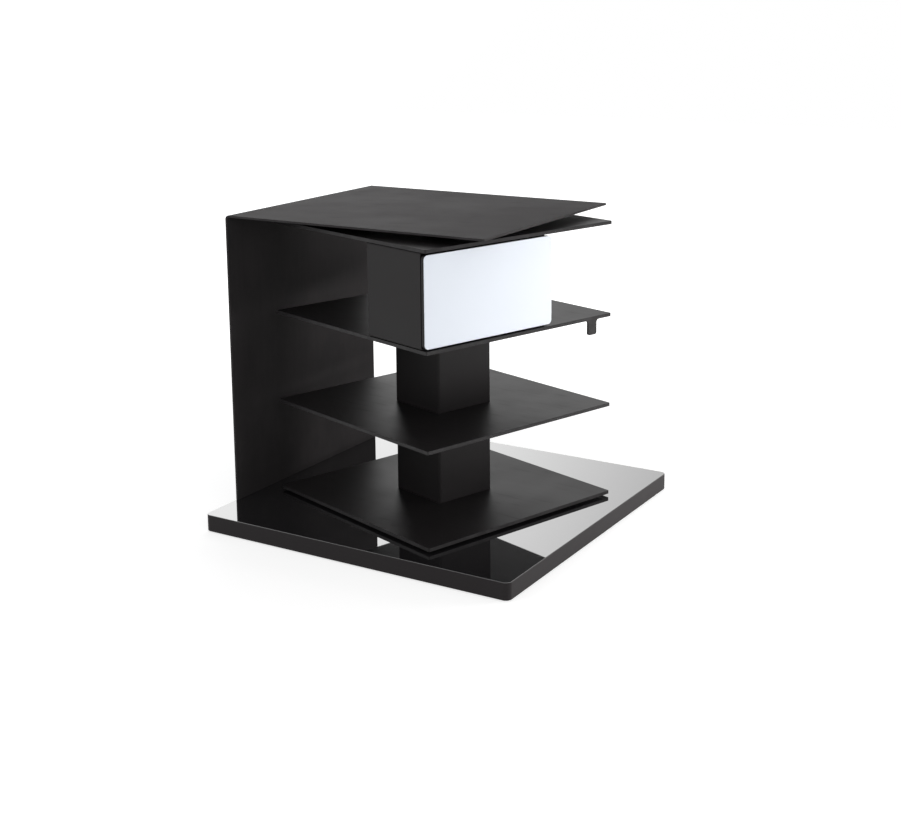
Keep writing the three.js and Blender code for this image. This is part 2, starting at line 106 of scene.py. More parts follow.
def watts(name, description, default):
    """The power of a lamp."""
    return amount(name, description, default, subtype="POWER", unit="POWER")


def colour(name, description, *default):
    return FloatVectorProperty(
        name=name, description=description, default=default, min=0.0, max=1.0, size=3, subtype="COLOR"
    )


class BoardSizes(bpy.types.PropertyGroup):
    side: length("Side", "Side of the square board", BASE_HIGH.x - BASE_LOW.x)
    corner: length("Corner radius", "Radius of the board's corners in plan", 9 * MM)
    arris: length("Arris", "Rounding of the board's long edges", 0.8 * MM)
    pocket: length("Pocket radius", "Radius of the round pocket for the ball ring", 79.5 * MM)
    pocket_depth: length("Pocket depth", "Depth of the round pocket", 6 * MM)
    glide_radius: length("Glide radius", "Radius of a glide pad", 19 * MM)
    glide_height: length("Glide height", "Thickness of a glide pad", 3.5 * MM)
    glide_chamfer: length("Glide chamfer", "Chamfer round the foot of a glide pad", 0.9 * MM)
    glide_recess: length("Glide recess", "Depth that a glide pad is let into the board", 2 * MM)
    glide_inset: length("Glide inset", "Distance of a glide's centre from the board's edges", 45 * MM)


class SheetSizes(bpy.types.PropertyGroup):
    thickness: length("Thickness", "Thickness of the folded sheet", 3 * MM)
    bend: length("Bend radius", "Inner radius of the fold", 3 * MM)
    corner: length("Corner radius", "Radius of the free corners", 2 * MM)
    arris: length("Arris", "Rounding of the sheet's cut edges", 0.35 * MM)


class UnitSizes(bpy.types.PropertyGroup):
    half: length("Half side", "Half the side of a plate", turned_half("unit_top_plate", PLATE_CORNER))
    thickness: length("Plate thickness", "Thickness of a plate", 5 * MM)
    corner: length("Plate corner radius", "Radius of a plate's corners", PLATE_CORNER)
    arris: length("Plate arris", "Rounding of a plate's edges", 0.45 * MM)
    bore_chamfer: length("Bore chamfer", "Chamfer round the hole in a plate", 0.25 * MM)
    spine: length("Spine side", "Side of the square spine", 99 * MM)
    spine_wall: length("Spine wall", "Sheet thickness of the spine", 1.5 * MM)
    spine_corner: length("Spine corner radius", "Radius of the spine's folds", 3 * MM)
    lug_width: length("Lug width", "Width of the lug under the upper shelf", 17 * MM)
    lug_drop: length("Lug drop", "How far the lug hangs down", 21.5 * MM)
    lug_thickness: length("Lug thickness", "Thickness of the lug", 3 * MM)
    lug_inset: length("Lug inset", "Distance of the lug from the shelf's corner", 30 * MM)
    lug_root: length("Lug root fillet", "Radius of the fillets where the lug leaves the shelf", 4 * MM)
    lug_end: length("Lug end radius", "Radius of the lug's lower corners", 3.5 * MM)
    lug_arris: length("Lug arris", "Rounding of the lug's edges", 0.25 * MM)


class DrawerSizes(bpy.types.PropertyGroup):
    wall: length("Housing wall", "Sheet thickness of the drawer's housing", 2 * MM)
    corner: length("Housing corner radius", "Radius of the housing's folds", 3 * MM)
    arris: length("Housing arris", "Rounding of the housing's edges", 0.35 * MM)
    front_width: length("Front width", "Width of the drawer's front", 228.5 * MM)
    front_recess: length("Front recess", "How far the front stands behind the plates' edges", 3 * MM)
    front_corner: length("Front corner radius", "Radius of the front's corners", 6 * MM)
    core: length("Core thickness", "Thickness of the front's black core", 5 * MM)
    core_arris: length("Core arris", "Rounding of the core's edges", 0.4 * MM)
    facing: length("Facing thickness", "Thickness of the white facing", 1 * MM)
    facing_arris: length("Facing arris", "Rounding of the facing's edges", 0.35 * MM)
    glue: length("Gap behind the facing", "Gap between the core and the facing", 0.2 * MM)
    gap_behind: length("Gap behind the front", "Gap between the front and the housing", 1.5 * MM)
    gap_below: length("Gap below the front", "Gap between the front and the plate under it", 2 * MM)
    gap_above: length("Gap above the front", "Gap between the front and the plate over it", 3 * MM)
    tray_wall: length("Tray wall", "Sheet thickness of the tray", 1.5 * MM)
    tray_corner: length("Tray corner radius", "Radius of the tray's corners", 3 * MM)
    tray_arris: length("Tray arris", "Rounding of the tray's edges", 0.3 * MM)
    tray_height: length("Tray height", "Height of the tray", 92 * MM)
    tray_lift: length("Tray lift", "Gap under the tray", 6 * MM)
    runner_height: length("Runner height", "Height of the outer runner", 22 * MM)
    runner_depth: length("Runner depth", "Depth of the outer runner", 9 * MM)
    runner_wall: length("Runner wall", "Sheet thickness of the runners", 1.5 * MM)
    runner_bend: length("Runner bend radius", "Inner radius of the runners' folds", 0.5 * MM)
    runner_arris: length("Runner bevel", "Bevel of the runners' edges and of the stud", 0.3 * MM)
    runner_proud: length("Runner step", "How far the inner runner stands proud", 1 * MM)
    runner_play: length("Runner play", "Clearance between the two runners", 0.4 * MM)
    runner_lift: length("Runner lift", "Height of the runners over the housing's floor", 30 * MM)
    runner_end: length("Runner end gap", "Gap at the runners' ends", 3 * MM)
    stud_radius: length("Stud radius", "Radius of the stop stud", 2 * MM)
    stud_inset: length("Stud inset", "Distance of the stop stud from the runner's end", 12 * MM)
    travel: length("Travel", "How far the drawer slides", 64.8 * MM)


class HardwareSizes(bpy.types.PropertyGroup):
    post: length("Post radius", "Outer radius of the post", 17 * MM)
    post_wall: length("Post wall", "Wall of the post", 3 * MM)
    flange: length("Flange radius", "Radius of the post's flange", 41 * MM)
    flange_thickness: length("Flange thickness", "Thickness of the post's flange", 4 * MM)
    arris: length("Post and pivot bevel", "Bevel of the post, the bush and the pin's flange", 0.4 * MM)
    nut: length("Nut radius", "Radius to the corners of the post's nut", 25 * MM)
    nut_height: length("Nut height", "Height of the post's nut", 4 * MM)
    nut_arris: length("Nut arris", "Rounding of the nut's edges", 0.35 * MM)
    nut_chamfer: length("Nut bore chamfer", "Chamfer round the nut's bore", 0.3 * MM)
    pin: length("Pin radius", "Radius of the pivot pin", 6 * MM)
    pin_length: length("Pin length", "Length of the pivot pin with its flange", 28 * MM)
    pin_chamfer: length("Pin chamfer", "Chamfer at the pin's tip", 1 * MM)
    pin_flange: length("Pin flange radius", "Radius of the pin's flange", 20 * MM)
    pin_flange_thickness: length("Pin flange thickness", "Thickness of the pin's flange", 3 * MM)
    bush_length: length("Bush length", "Length of the bush in the post", 26 * MM)
    bush_flange: length("Bush flange thickness", "Thickness of the bush's flange", 1.5 * MM)
    bush_overhang: length("Bush overhang", "How far the bush's flange reaches past its barrel", 2 * MM)
    track: length("Track radius", "Radius of the circle that the balls run on", 60 * MM)
    ball: length("Ball radius", "Radius of a ball", 2.3 * MM)
    balls: IntProperty(name="Balls", description="Number of balls in the ring", default=20, min=3)
    groove_play: length("Groove clearance", "Clearance between ball and groove", 0.35 * MM)
    race_gap: length("Race gap", "Gap between the two rings", 4 * MM)
    race_thickness: length("Ring thickness", "Thickness of a ring", 2.5 * MM)
    race_arris: length("Ring bevel", "Bevel of a ring's edges", 0.25 * MM)
    race_lip: length("Ring lip", "Width of a ring beside the track", 8 * MM)
    race_rim: length("Mounting rim", "Width of the lower ring's rim for its screws", 11 * MM)
    cage_half: length("Cage half width", "Half the width of the ball cage", 4.5 * MM)
    cage_thickness: length("Cage thickness", "Thickness of the ball cage", 1 * MM)
    fit: length("Fit", "Gap between pieces that fit together", 0.3 * MM)
    screw_gap: length("Screw gap", "Clearance round a screw", 0.2 * MM)
    screw_edge: length("Screw edge distance", "Distance of the outer screws from the sheet's edges", 36 * MM)
    wall_screws: IntProperty(
        name="Wall screws", description="Screws along the foot of the sheet", default=WALL_SCREWS, min=2
    )


class Finishes(bpy.types.PropertyGroup):
    lacquer: colour("Lacquer", "Colour of the board's gloss lacquer", 0.012, 0.0115, 0.0125)
    lacquer_edge: colour("Lacquer edge", "Colour of the board's satin edges", 0.0255, 0.0228, 0.0237)
    sheet: colour("Sheet coat", "Colour of the coat on the folded sheet", 0.0340, 0.0314, 0.0322)
    plate: colour("Plate coat", "Colour of the coat on the plates and the drawer", 0.0124, 0.0112, 0.0116)
    facing: colour("Facing", "Colour of the white facing", 0.80, 0.85, 0.93)
    zinc: colour("Zinc", "Colour of zinc-plated steel", 0.56, 0.57, 0.575)
    bearing: colour("Bearing steel", "Colour of the ball ring's steel", 0.60, 0.605, 0.61)
    nylon: colour("Nylon", "Colour of the bush and the ball cage", 0.74, 0.72, 0.66)
    rubber: colour("Rubber", "Colour of the glide pads", 0.012, 0.012, 0.012)
    # How strongly the lighter colour painted along the edges as a highlight shows
    wear: share("Highlight", "How much the edges' coat is rubbed", 0.35)


class StageSettings(bpy.types.PropertyGroup):
    floor: share("Floor shade", "Diffuse reflectance of the floor", 0.62)
    floor_glow: share("Floor glow", "White that the floor shows besides the light on it", 0.66)
    far_glow: share("Far glow", "What the floor's glow gains away from the object", 0.4)
    ambient: amount("Ambient", "World light that falls on the object", 0.42)
    screen: amount("Screen", "White added where the backdrop is lit", 1.1)
    key: watts("Key lamp", "Power of the key lamp", 6.8)
    side: watts("Side lamp", "Power of the side lamp", 11.0)
    fill: watts("Fill lamp", "Power of the fill lamp", 18.0)
    back: watts("Back lamp", "Power of the back lamp", 22.0)


class BookshelfSettings(bpy.types.PropertyGroup):
    board: PointerProperty(name="Board", description="The board and its glide pads", type=BoardSizes)
    sheet: PointerProperty(name="Sheet", description="The folded sheet", type=SheetSizes)
    unit: PointerProperty(name="Unit", description="The plates and the spine", type=UnitSizes)
    drawer: PointerProperty(name="Drawer", description="The drawer and its housing", type=DrawerSizes)
    hardware: PointerProperty(name="Hardware", description="What turns and what fastens", type=HardwareSizes)
    finishes: PointerProperty(name="Finishes", description="Colours and wear", type=Finishes)
    stage: PointerProperty(name="Stage", description="Floor, surroundings and lamps", type=StageSettings)


# Shapes: closed meshes made of rings of points


def quarter(steps):
    """Angles that divide a quarter turn into equal steps."""
    return [math.pi / 2 * step / steps for step in range(steps + 1)]


def rounded(width, depth, radius, steps=CORNER_STEPS):
    """The outline of a rounded rectangle: a function that gives its points, drawn in by an inset."""
    def outline(inset=0.0):
        bend = max(radius - inset, SHARPEST_CORNER)
        x, y = width / 2 - inset - bend, depth / 2 - inset - bend
        points = []
        for cx, cy, start in ((x, y, 0), (-x, y, 90), (-x, -y, 180), (x, -y, 270)):
            for step in range(steps + 1):
                angle = math.radians(start + 90 * step / steps)
                points.append((cx + bend * math.cos(angle), cy + bend * math.sin(angle)))
        return points

    return outline


def circle(radius, steps=ROUND_STEPS, phase=0.0):
    turns = (phase + 2 * math.pi * step / steps for step in range(steps))
    return [(radius * math.cos(turn), radius * math.sin(turn)) for turn in turns]


def lifted(outline, height):
    """An outline's points, laid flat at a height."""
    return [(x, y, height) for x, y in outline]


def upright(outline, along, across=0.0, up=0.0):
    """An outline's points, stood up at a place along X and moved across and up."""
    return [(along, across + y, up + z) for y, z in outline]


def eased(bottom, top, arris, steps=ARRIS_STEPS):
    """(inset, height) pairs up the side of a slab whose two arrises are rounded."""
    turns = quarter(steps)
    lower = [(arris * (1 - math.sin(turn)), bottom + arris * (1 - math.cos(turn))) for turn in turns]
    upper = [(arris * (1 - math.cos(turn)), top - arris * (1 - math.sin(turn))) for turn in turns]
    return lower + upper


def open_box_levels(bottom, top, wall, arris):
    """(inset, height) pairs up the outside of an open box, over its rim and down inside to its floor."""
    outside = eased(bottom, top, arris)
    rim = [(wall - inset, height) for inset, height in reversed(outside[ARRIS_STEPS + 1:])]
    return outside + rim + [(wall, bottom + wall)]


def placed(name, data):
    """A new object of the scene."""
    made = bpy.data.objects.new(name, data)
    bpy.context.scene.collection.objects.link(made)
    return made


class Shaper:
    """Collects rings of points into one closed mesh."""

    def __init__(self):
        self.bm = bmesh.new()

    def wall(self, rings, closed=False):
        """Joins rings of equally many points with faces, and gives back the first and the last ring."""
        loops = [[self.bm.verts.new(point) for point in ring] for ring in rings]
        pairs = list(zip(loops, loops[1:]))
        if closed:
            pairs.append((loops[-1], loops[0]))
        for lower, upper in pairs:
            for i, vertex in enumerate(lower):
                after = (i + 1) % len(lower)
                self.bm.faces.new((vertex, lower[after], upper[after], upper[i]))
        return loops[0], loops[-1]

    def cap(self, outline, *holes):
        """Closes an outline that lies in one plane, round any holes in it."""
        if not holes:
            self.bm.faces.new(outline)
            return
        edges = []
        for loop in (outline, *holes):
            edges += [self.bm.edges.get((loop[i - 1], loop[i])) for i in range(len(loop))]
        bmesh.ops.triangle_fill(self.bm, use_beauty=True, use_dissolve=False, edges=edges)

    def piece(self, name, axes=None):
        """Ends the shape as an object whose place is in its mesh."""
        bmesh.ops.recalc_face_normals(self.bm, faces=self.bm.faces[:])
        if axes is not None:
            self.bm.transform(axes)
        mesh = bpy.data.meshes.new(name)
        self.bm.to_mesh(mesh)
        self.bm.free()
        return placed(name, mesh)


def loft(name, rings, axes=None, closed=False):
    """A solid between rings of points. Its ends are capped, unless its last ring joins its first."""
    shaper = Shaper()
    ends = shaper.wall(rings, closed)
    if not closed:
        for end in ends:
            shaper.cap(end)
    return shaper.piece(name, axes)


def panel(name, outline, levels, across, up):
    """A solid of the unit whose outline stands across the unit's X axis."""
    return loft(name, [upright(outline(inset), along, across, up) for inset, along in levels], UNIT_AXES)


def slab(name, outline, levels, hole=None, axes=None):
    """A solid whose outline lies flat, with a hole that is given as a (radius, chamfer) pair."""
    rings = [lifted(outline(inset), height) for inset, height in levels]
    if hole is None:
        return loft(name, rings, axes)
    radius, chamfer = hole
    mouth, low, high = radius + chamfer, levels[0][1], levels[-1][1]
    bore = [(mouth, low), (radius, low + chamfer), (radius, high - chamfer), (mouth, high)]
    shaper = Shaper()
    ends = shaper.wall(rings)
    hole_ends = shaper.wall([lifted(circle(r), height) for r, height in bore])
    for end, hole_end in zip(ends, hole_ends):
        shaper.cap(end, hole_end)
    return shaper.piece(name, axes)


def turned(name, profile, axes=None, steps=ROUND_STEPS, closed=False):
    """A body of revolution about Z from (radius, height) points. Closed means a ring with a bore."""
    return loft(name, [lifted(circle(radius, steps), height) for radius, height in profile], axes, closed)


def box(name, low, high):
    corners = ((low[0], low[1]), (high[0], low[1]), (high[0], high[1]), (low[0], high[1]))
    return loft(name, [lifted(corners, height) for height in (low[2], high[2])])


def apply_modifiers(piece):
    """Gives a piece the mesh that its modifiers make, and removes them."""
    plain = bpy.data.meshes.new_from_object(piece.evaluated_get(bpy.context.evaluated_depsgraph_get()))
    piece.modifiers.clear()
    piece.data = plain


def combine(target, tools, operation="DIFFERENCE"):
    """Cuts the tools out of the target, or joins them to it, and removes them."""
    for tool in tools:
        change = target.modifiers.new("Combine", "BOOLEAN")
        change.operation = operation
        change.solver = "EXACT"
        change.object = tool
    apply_modifiers(target)
    for tool in tools:
        bpy.data.objects.remove(tool)


def smooth_faces(piece):
    """Shades curved faces smooth and keeps wide flat faces flat, as custom normals in the mesh."""
    piece.data.shade_smooth()
    piece.data.set_sharp_from_angle(angle=SMOOTH_ANGLE)
    weigh = piece.modifiers.new("Even faces", "WEIGHTED_NORMAL")
    weigh.keep_sharp = True
    weigh.weight = 100
    apply_modifiers(piece)


# Node trees: Geometry Nodes for what repeats, and materials written as sums of patterns


class Signal:
    """An output of a node. Arithmetic on it adds Math nodes."""

    def __init__(self, graph, socket):
        self.graph = graph
        self.socket = socket

    def math(self, operation, *values):
        return self.graph.add("ShaderNodeMath", dict(enumerate(values)), operation=operation)

    def __add__(self, other):
        return self.math("ADD", self, other)

    def __sub__(self, other):
        return self.math("SUBTRACT", self, other)

    def __rsub__(self, other):
        return self.math("SUBTRACT", other, self)

    def __mul__(self, other):
        return self.math("MULTIPLY", self, other)

    def __pow__(self, other):
        return self.math("POWER", self, other)

    def __abs__(self):
        return self.math("ABSOLUTE", self)

    __radd__ = __add__
    __rmul__ = __mul__

    def above(self, other):
        return self.math("MAXIMUM", self, other)


class Graph:
    """A node tree that is written line by line."""

    def __init__(self, tree):
        self.tree = tree

    def add(self, kind, sockets=None, out=0, **settings):
        """Adds a node: its settings first, then the values or links of its sockets."""
        node = self.tree.nodes.new(kind)
        for key, value in settings.items():
            setattr(node, key, value)
        for key, value in (sockets or {}).items():
            for one in value if isinstance(value, list) else [value]:
                if isinstance(one, Signal):
                    self.tree.links.new(one.socket, node.inputs[key])
                else:
                    node.inputs[key].default_value = one
        return Signal(self, node.outputs[out]) if node.outputs else None

    def vector(self, x=0.0, y=0.0, z=0.0):
        return self.add("ShaderNodeCombineXYZ", {"X": x, "Y": y, "Z": z})


class Pattern(Graph):
    """A Geometry Nodes tree with named inputs, whose result becomes one plain mesh."""

    def __init__(self, name):
        super().__init__(bpy.data.node_groups.new(name, "GeometryNodeTree"))
        self.name = name
        self.tree.interface.new_socket("Geometry", in_out="OUTPUT", socket_type="NodeSocketGeometry")
        self.values = {}

    def inputs(self, **values):
        """Adds a named input for each value, which the modifier gets. Underscores stand for spaces."""
        for name, value in values.items():
            kind = "NodeSocketInt" if isinstance(value, int) else "NodeSocketFloat"
            name = name.replace("_", " ")
            socket = self.tree.interface.new_socket(name, in_out="INPUT", socket_type=kind)
            self.values[socket.identifier] = value
            yield self.add("NodeGroupInput", out=name)

    def cylinder(self, facets, radius, depth):
        return self.add("GeometryNodeMeshCylinder", {"Vertices": facets, "Radius": radius, "Depth": depth})

    def cone(self, facets, bottom, top, depth):
        sockets = {"Vertices": facets, "Radius Bottom": bottom, "Radius Top": top, "Depth": depth}
        return self.add("GeometryNodeMeshCone", sockets)

    def hoop(self, count, radius):
        """Points round a circle."""
        return self.add("GeometryNodeMeshCircle", {"Vertices": count, "Radius": radius}, fill_type="NONE")

    def raised(self, geometry, height, turn=0.0):
        """Geometry moved up and turned about Z."""
        moves = {"Translation": self.vector(z=height), "Rotation": self.vector(z=turn)}
        return self.add("GeometryNodeTransform", {"Geometry": geometry, **moves})

    def boolean(self, operation, sockets):
        return self.add("GeometryNodeMeshBoolean", sockets, operation=operation, solver="EXACT")

    def union(self, *meshes):
        return self.boolean("UNION", {"Mesh 2": list(meshes)})

    def difference(self, mesh, *cutters):
        return self.boolean("DIFFERENCE", {"Mesh 1": mesh, "Mesh 2": list(cutters)})

    def copies(self, points, instance, turn=0.0):
        """A copy at each point, turned about Z. Its turn may differ from point to point."""
        sockets = {"Points": points, "Instance": instance, "Rotation": self.vector(z=turn)}
        return self.add("GeometryNodeInstanceOnPoints", sockets)

    def real(self, geometry):
        return self.add("GeometryNodeRealizeInstances", {"Geometry": geometry})

    def finished(self, geometry, material, axes=None):
        """Makes the instances real, sets their material and gives back one plain object."""
        sockets = {"Geometry": self.real(geometry), "Material": material}
        self.add("NodeGroupOutput", {"Geometry": self.add("GeometryNodeSetMaterial", sockets)})
        holder = placed(self.name, bpy.data.meshes.new(self.name))
        modifier = holder.modifiers.new(self.name, "NODES")
        modifier.node_group = self.tree
        for identifier, value in self.values.items():
            modifier[identifier] = value
        apply_modifiers(holder)
        if axes is not None:
            holder.data.transform(axes)
        return holder


class Recipe(Graph):
    """The node tree of one material or of the world, from its patterns to its shader."""

    def __init__(self, name, world=None):
        self.owner = world or bpy.data.materials.new(name)
        self.owner.use_nodes = True
        super().__init__(self.owner.node_tree)
        self.tree.nodes.clear()
        self.place = self.add("ShaderNodeTexCoord", out="Generated" if world else "Object")

    def mapped(self, scale=(1, 1, 1), turn=0.0):
        """Object coordinates, turned about Z into a piece's own axes and stretched."""
        own = self.add("ShaderNodeMapping", {"Vector": self.place, "Rotation": (0, 0, -turn)})
        return self.add("ShaderNodeMapping", {"Vector": own, "Scale": scale})

    def noise(self, scale, detail, rough, vector=None):
        sockets = {"Vector": vector or self.place, "Scale": scale, "Detail": detail, "Roughness": rough}
        return self.add("ShaderNodeTexNoise", sockets, out="Fac")

    def parts(self, vector):
        """The X, Y and Z of a vector."""
        split = self.add("ShaderNodeSeparateXYZ", {0: vector})
        return tuple(Signal(self, socket) for socket in split.socket.node.outputs)

    def step(self, signal, low, high):
        """Rises smoothly from 0 at low to 1 at high."""
        sockets = {"Value": signal, "From Min": low, "From Max": high}
        return self.add("ShaderNodeMapRange", sockets, interpolation_type="SMOOTHSTEP")

    def mix(self, factor, first, second):
        """A colour between two colours, which are the Mix node's inputs 6 and 7 and its output 2."""
        first, second = (c if isinstance(c, Signal) else (*c, 1.0) for c in (first, second))
        return self.add("ShaderNodeMix", {0: factor, 6: first, 7: second}, out=2, data_type="RGBA")

    def shades(self, factor, base, dark, light):
        """A colour between a darker and a lighter shade of the base."""
        return self.mix(factor, shade(base, dark), shade(base, light))

    def patchy_edge(self, edge, scale, low, high):
        """An edge mask for a painted highlight, which comes and goes along the edge, down to a half."""
        return edge * (0.5 + 0.5 * self.step(self.noise(scale, 3.0, 0.6), low, high))

    def bump(self, height, distance, **under):
        sockets = {"Strength": 1.0, "Distance": distance, "Height": height, **under}
        return self.add("ShaderNodeBump", sockets)

    def shader(self, **sockets):
        """Ends the material with a principled shader. Underscores in names stand for spaces."""
        named = {key.replace("_", " "): value for key, value in sockets.items()}
        return self.ended("ShaderNodeOutputMaterial", self.add("ShaderNodeBsdfPrincipled", named))

    def ended(self, output, surface):
        self.add(output, {"Surface": surface})
        return self.owner

    def seen(self):
        """1 for rays from the camera, from gloss and through glass."""
        camera = self.add("ShaderNodeLightPath", out="Is Camera Ray")
        outputs = camera.socket.node.outputs
        glossy, through = (Signal(self, outputs[name]) for name in ("Is Glossy Ray", "Is Transmission Ray"))
        return camera.above(glossy).above(through)


# Finishes. A noise is given by its scale, its detail and its roughness.


def shade(base, factor):
    return tuple(min(1.0, channel * factor) for channel in base)


def lacquered_board(recipe, settings):
    """Deep gloss lacquer on top, satin edges, and a painted highlight in patches along the upper arris."""
    colours, half, top_z = settings.finishes, settings.board.side / 2, BASE_HIGH.z
    x, y, z = recipe.parts(recipe.place)
    near_side = recipe.step(abs(x).above(abs(y)), half - 1.6 * MM, half - 0.3 * MM)
    top = recipe.step(z, top_z - 0.5 * MM, top_z - 0.1 * MM)
    arris = near_side * recipe.step(z, top_z - 1.1 * MM, top_z - 0.4 * MM)
    haze = recipe.noise(3.2, 4.0, 0.55)
    wipes = recipe.noise(9.0, 3.0, 0.6, recipe.mapped((1.0, 5.0, 1.0), math.radians(32)))
    grain = recipe.noise(1300.0, 2.0, 0.6)
    peel = recipe.noise(46.0, 2.0, 0.4)
    # A pale grey in patches along the upper arris, with less coat there: a painted highlight.
    highlighted = arris * recipe.step(recipe.noise(150.0, 3.0, 0.6), 0.38, 0.62) * colours.wear
    edge = recipe.shades(haze, colours.lacquer_edge, 0.86, 1.16)
    flat = recipe.shades(haze, colours.lacquer, 0.9, 1.12)
    body = recipe.mix(highlighted, recipe.mix(top, edge, flat), (0.16, 0.155, 0.155))
    gloss = 0.015 + 0.03 * recipe.step(wipes, 0.45, 0.8) + 0.02 * recipe.step(haze, 0.4, 0.75)
    satin = 0.36 + 0.1 * haze + 0.05 * grain
    waves = recipe.bump(peel, 0.0035 * MM)
    return recipe.shader(
        Base_Color=body, Roughness=top * gloss + (1 - top) * satin,
        Normal=recipe.bump(grain * (1 - top), 0.006 * MM, Normal=waves), Specular_IOR_Level=0.1,
        Coat_Weight=top * (1 - highlighted), Coat_Roughness=0.012, Coat_IOR=3.2,
    )


def powder_coat(recipe, base, turn, cloud, sheen, level, edge_highlight=None):
    """Satin powder coat: fine orange peel, slow clouds in tone and sheen, faint streaks and a painted edge
    highlight.

    sheen is a (lowest, highest) roughness, and the last argument a (where, how much, colour, polish) group
    for a painted highlight along edges.
    """
    clouds = recipe.noise(5.5, 4.0, 0.55)
    patches = recipe.noise(23.0, 4.0, 0.6)
    streaks = recipe.noise(14.0, 3.0, 0.55, recipe.mapped((1.0, 9.0, 1.0), turn + math.radians(12)))
    peel = recipe.noise(780.0, 2.0, 0.5)
    grit = recipe.noise(2600.0, 2.0, 0.6)
    tone = recipe.step(clouds * 0.65 + patches * 0.2 + streaks * 0.15, 0.32, 0.68)
    body = recipe.shades(tone, base, 1 - cloud, 1 + cloud)
    body = recipe.mix(recipe.step(grit, 0.69, 0.78) * 0.12, body, shade(base, 2.0))
    low, high = sheen
    rub = recipe.step(streaks, 0.56, 0.74) * recipe.step(patches, 0.42, 0.62)
    rough = low + (high - low) * tone + 0.05 * rub
    # Paints a lighter colour along the given edges as a highlight, and lowers the roughness there.
    if edge_highlight:
        where, wear, highlight_colour, polish = edge_highlight
        body = recipe.mix(where * wear, body, highlight_colour)
        rough = rough - where * polish
    relief = recipe.bump(peel * 0.8 + grit * 0.2, 0.012 * MM)
    return recipe.shader(Base_Color=body, Roughness=rough, Normal=relief, Specular_IOR_Level=level)


def coated_sheet(recipe, settings):
    """The folded sheet's coat, with a painted highlight in patches along its free edges."""
    colours = settings.finishes
    x, y, z = recipe.parts(recipe.place)
    side = recipe.step(abs(y), SHEET_HIGH.y - 0.9 * MM, SHEET_HIGH.y - 0.25 * MM)
    tip = recipe.step(x, SHEET_HIGH.x - 0.9 * MM, SHEET_HIGH.x - 0.25 * MM)
    # A lighter grey in patches along the sheet's free edges: a painted highlight.
    edge_highlight = recipe.patchy_edge(side.above(tip), 44.0, 0.36, 0.66), colours.wear, (0.085, 0.082, 0.084), 0.06
    return powder_coat(recipe, colours.sheet, 0.0, 0.2, (0.5, 0.6), 0.028, edge_highlight)


def coated_plate(recipe, settings):
    """The plates' coat, with a painted highlight in patches along the plates' edges."""
    colours, half = settings.finishes, settings.unit.half
    x, y, z = recipe.parts(recipe.mapped(turn=REST_TURN))
    rim = recipe.step(abs(x).above(abs(y)), half - 0.7 * MM, half - 0.15 * MM)
    # A lighter grey in patches along the plates' edges: a painted highlight.
    edge_highlight = recipe.patchy_edge(rim, 48.0, 0.4, 0.68), colours.wear, (0.07, 0.068, 0.07), 0.05
    return powder_coat(recipe, colours.plate, REST_TURN, 0.06, (0.42, 0.48), 0.16, edge_highlight)


def coated_box(recipe, settings):
    """The same coat on the drawer, its housing and the spine."""
    return powder_coat(recipe, settings.finishes.plate, REST_TURN, 0.1, (0.42, 0.48), 0.16)


def gloss_facing(recipe, settings):
    """White high gloss with a faint orange peel and soft wipe marks."""
    haze = recipe.noise(6.0, 3.0, 0.5)
    wipes = recipe.noise(15.0, 3.0, 0.6, recipe.mapped((1.0, 1.0, 6.0), REST_TURN))
    peel = recipe.noise(95.0, 2.0, 0.4)
    return recipe.shader(
        Base_Color=recipe.shades(haze, settings.finishes.facing, 0.985, 1.015),
        Roughness=0.1 + 0.07 * recipe.step(wipes, 0.42, 0.75) + 0.02 * haze,
        Normal=recipe.bump(peel, 0.004 * MM), IOR=1.49, Coat_Weight=0.4, Coat_Roughness=0.05,
    )


def zinc_plate(recipe, settings):
    """Bright zinc on steel: small spangles in tone, fine drawing marks and dull spots."""
    cells = recipe.add("ShaderNodeTexVoronoi", {"Vector": recipe.place, "Scale": 420.0}, out="Distance")
    dull = recipe.noise(60.0, 4.0, 0.6)
    marks = recipe.noise(240.0, 2.0, 0.5, recipe.mapped((1.0, 1.0, 14.0)))
    tone = recipe.step(cells * 0.5 + dull * 0.5, 0.2, 0.6)
    body = recipe.shades(tone, settings.finishes.zinc, 0.84, 1.12)
    body = recipe.mix(recipe.step(dull, 0.58, 0.74) * 0.35, body, (0.62, 0.6, 0.52))
    return recipe.shader(
        Base_Color=body, Roughness=0.24 + 0.14 * tone + 0.08 * marks, Metallic=1.0,
        Normal=recipe.bump(marks + cells * 0.3, 0.01 * MM),
    )


def bearing_steel(recipe, settings):
    """Hardened steel turned on a lathe: fine rings about the axis and an oily sheen."""
    x, y, z = recipe.parts(recipe.place)
    rings = recipe.noise(2600.0, 2.0, 0.6, recipe.vector((x * x + y * y) ** 0.5, z * 0.2))
    oil = recipe.noise(38.0, 3.0, 0.5)
    return recipe.shader(
        Base_Color=recipe.shades(oil, settings.finishes.bearing, 0.82, 1.06),
        Roughness=0.16 + 0.12 * oil + 0.08 * rings, Metallic=1.0, Normal=recipe.bump(rings, 0.006 * MM),
    )


def moulded_nylon(recipe, settings):
    """Natural nylon with a soft mottled tone and a fine matt skin."""
    mottle = recipe.noise(85.0, 3.0, 0.55)
    skin = recipe.noise(1500.0, 2.0, 0.6)
    return recipe.shader(
        Base_Color=recipe.shades(mottle, settings.finishes.nylon, 0.93, 1.05),
        Roughness=0.42 + 0.16 * mottle, IOR=1.53, Normal=recipe.bump(skin, 0.01 * MM),
    )


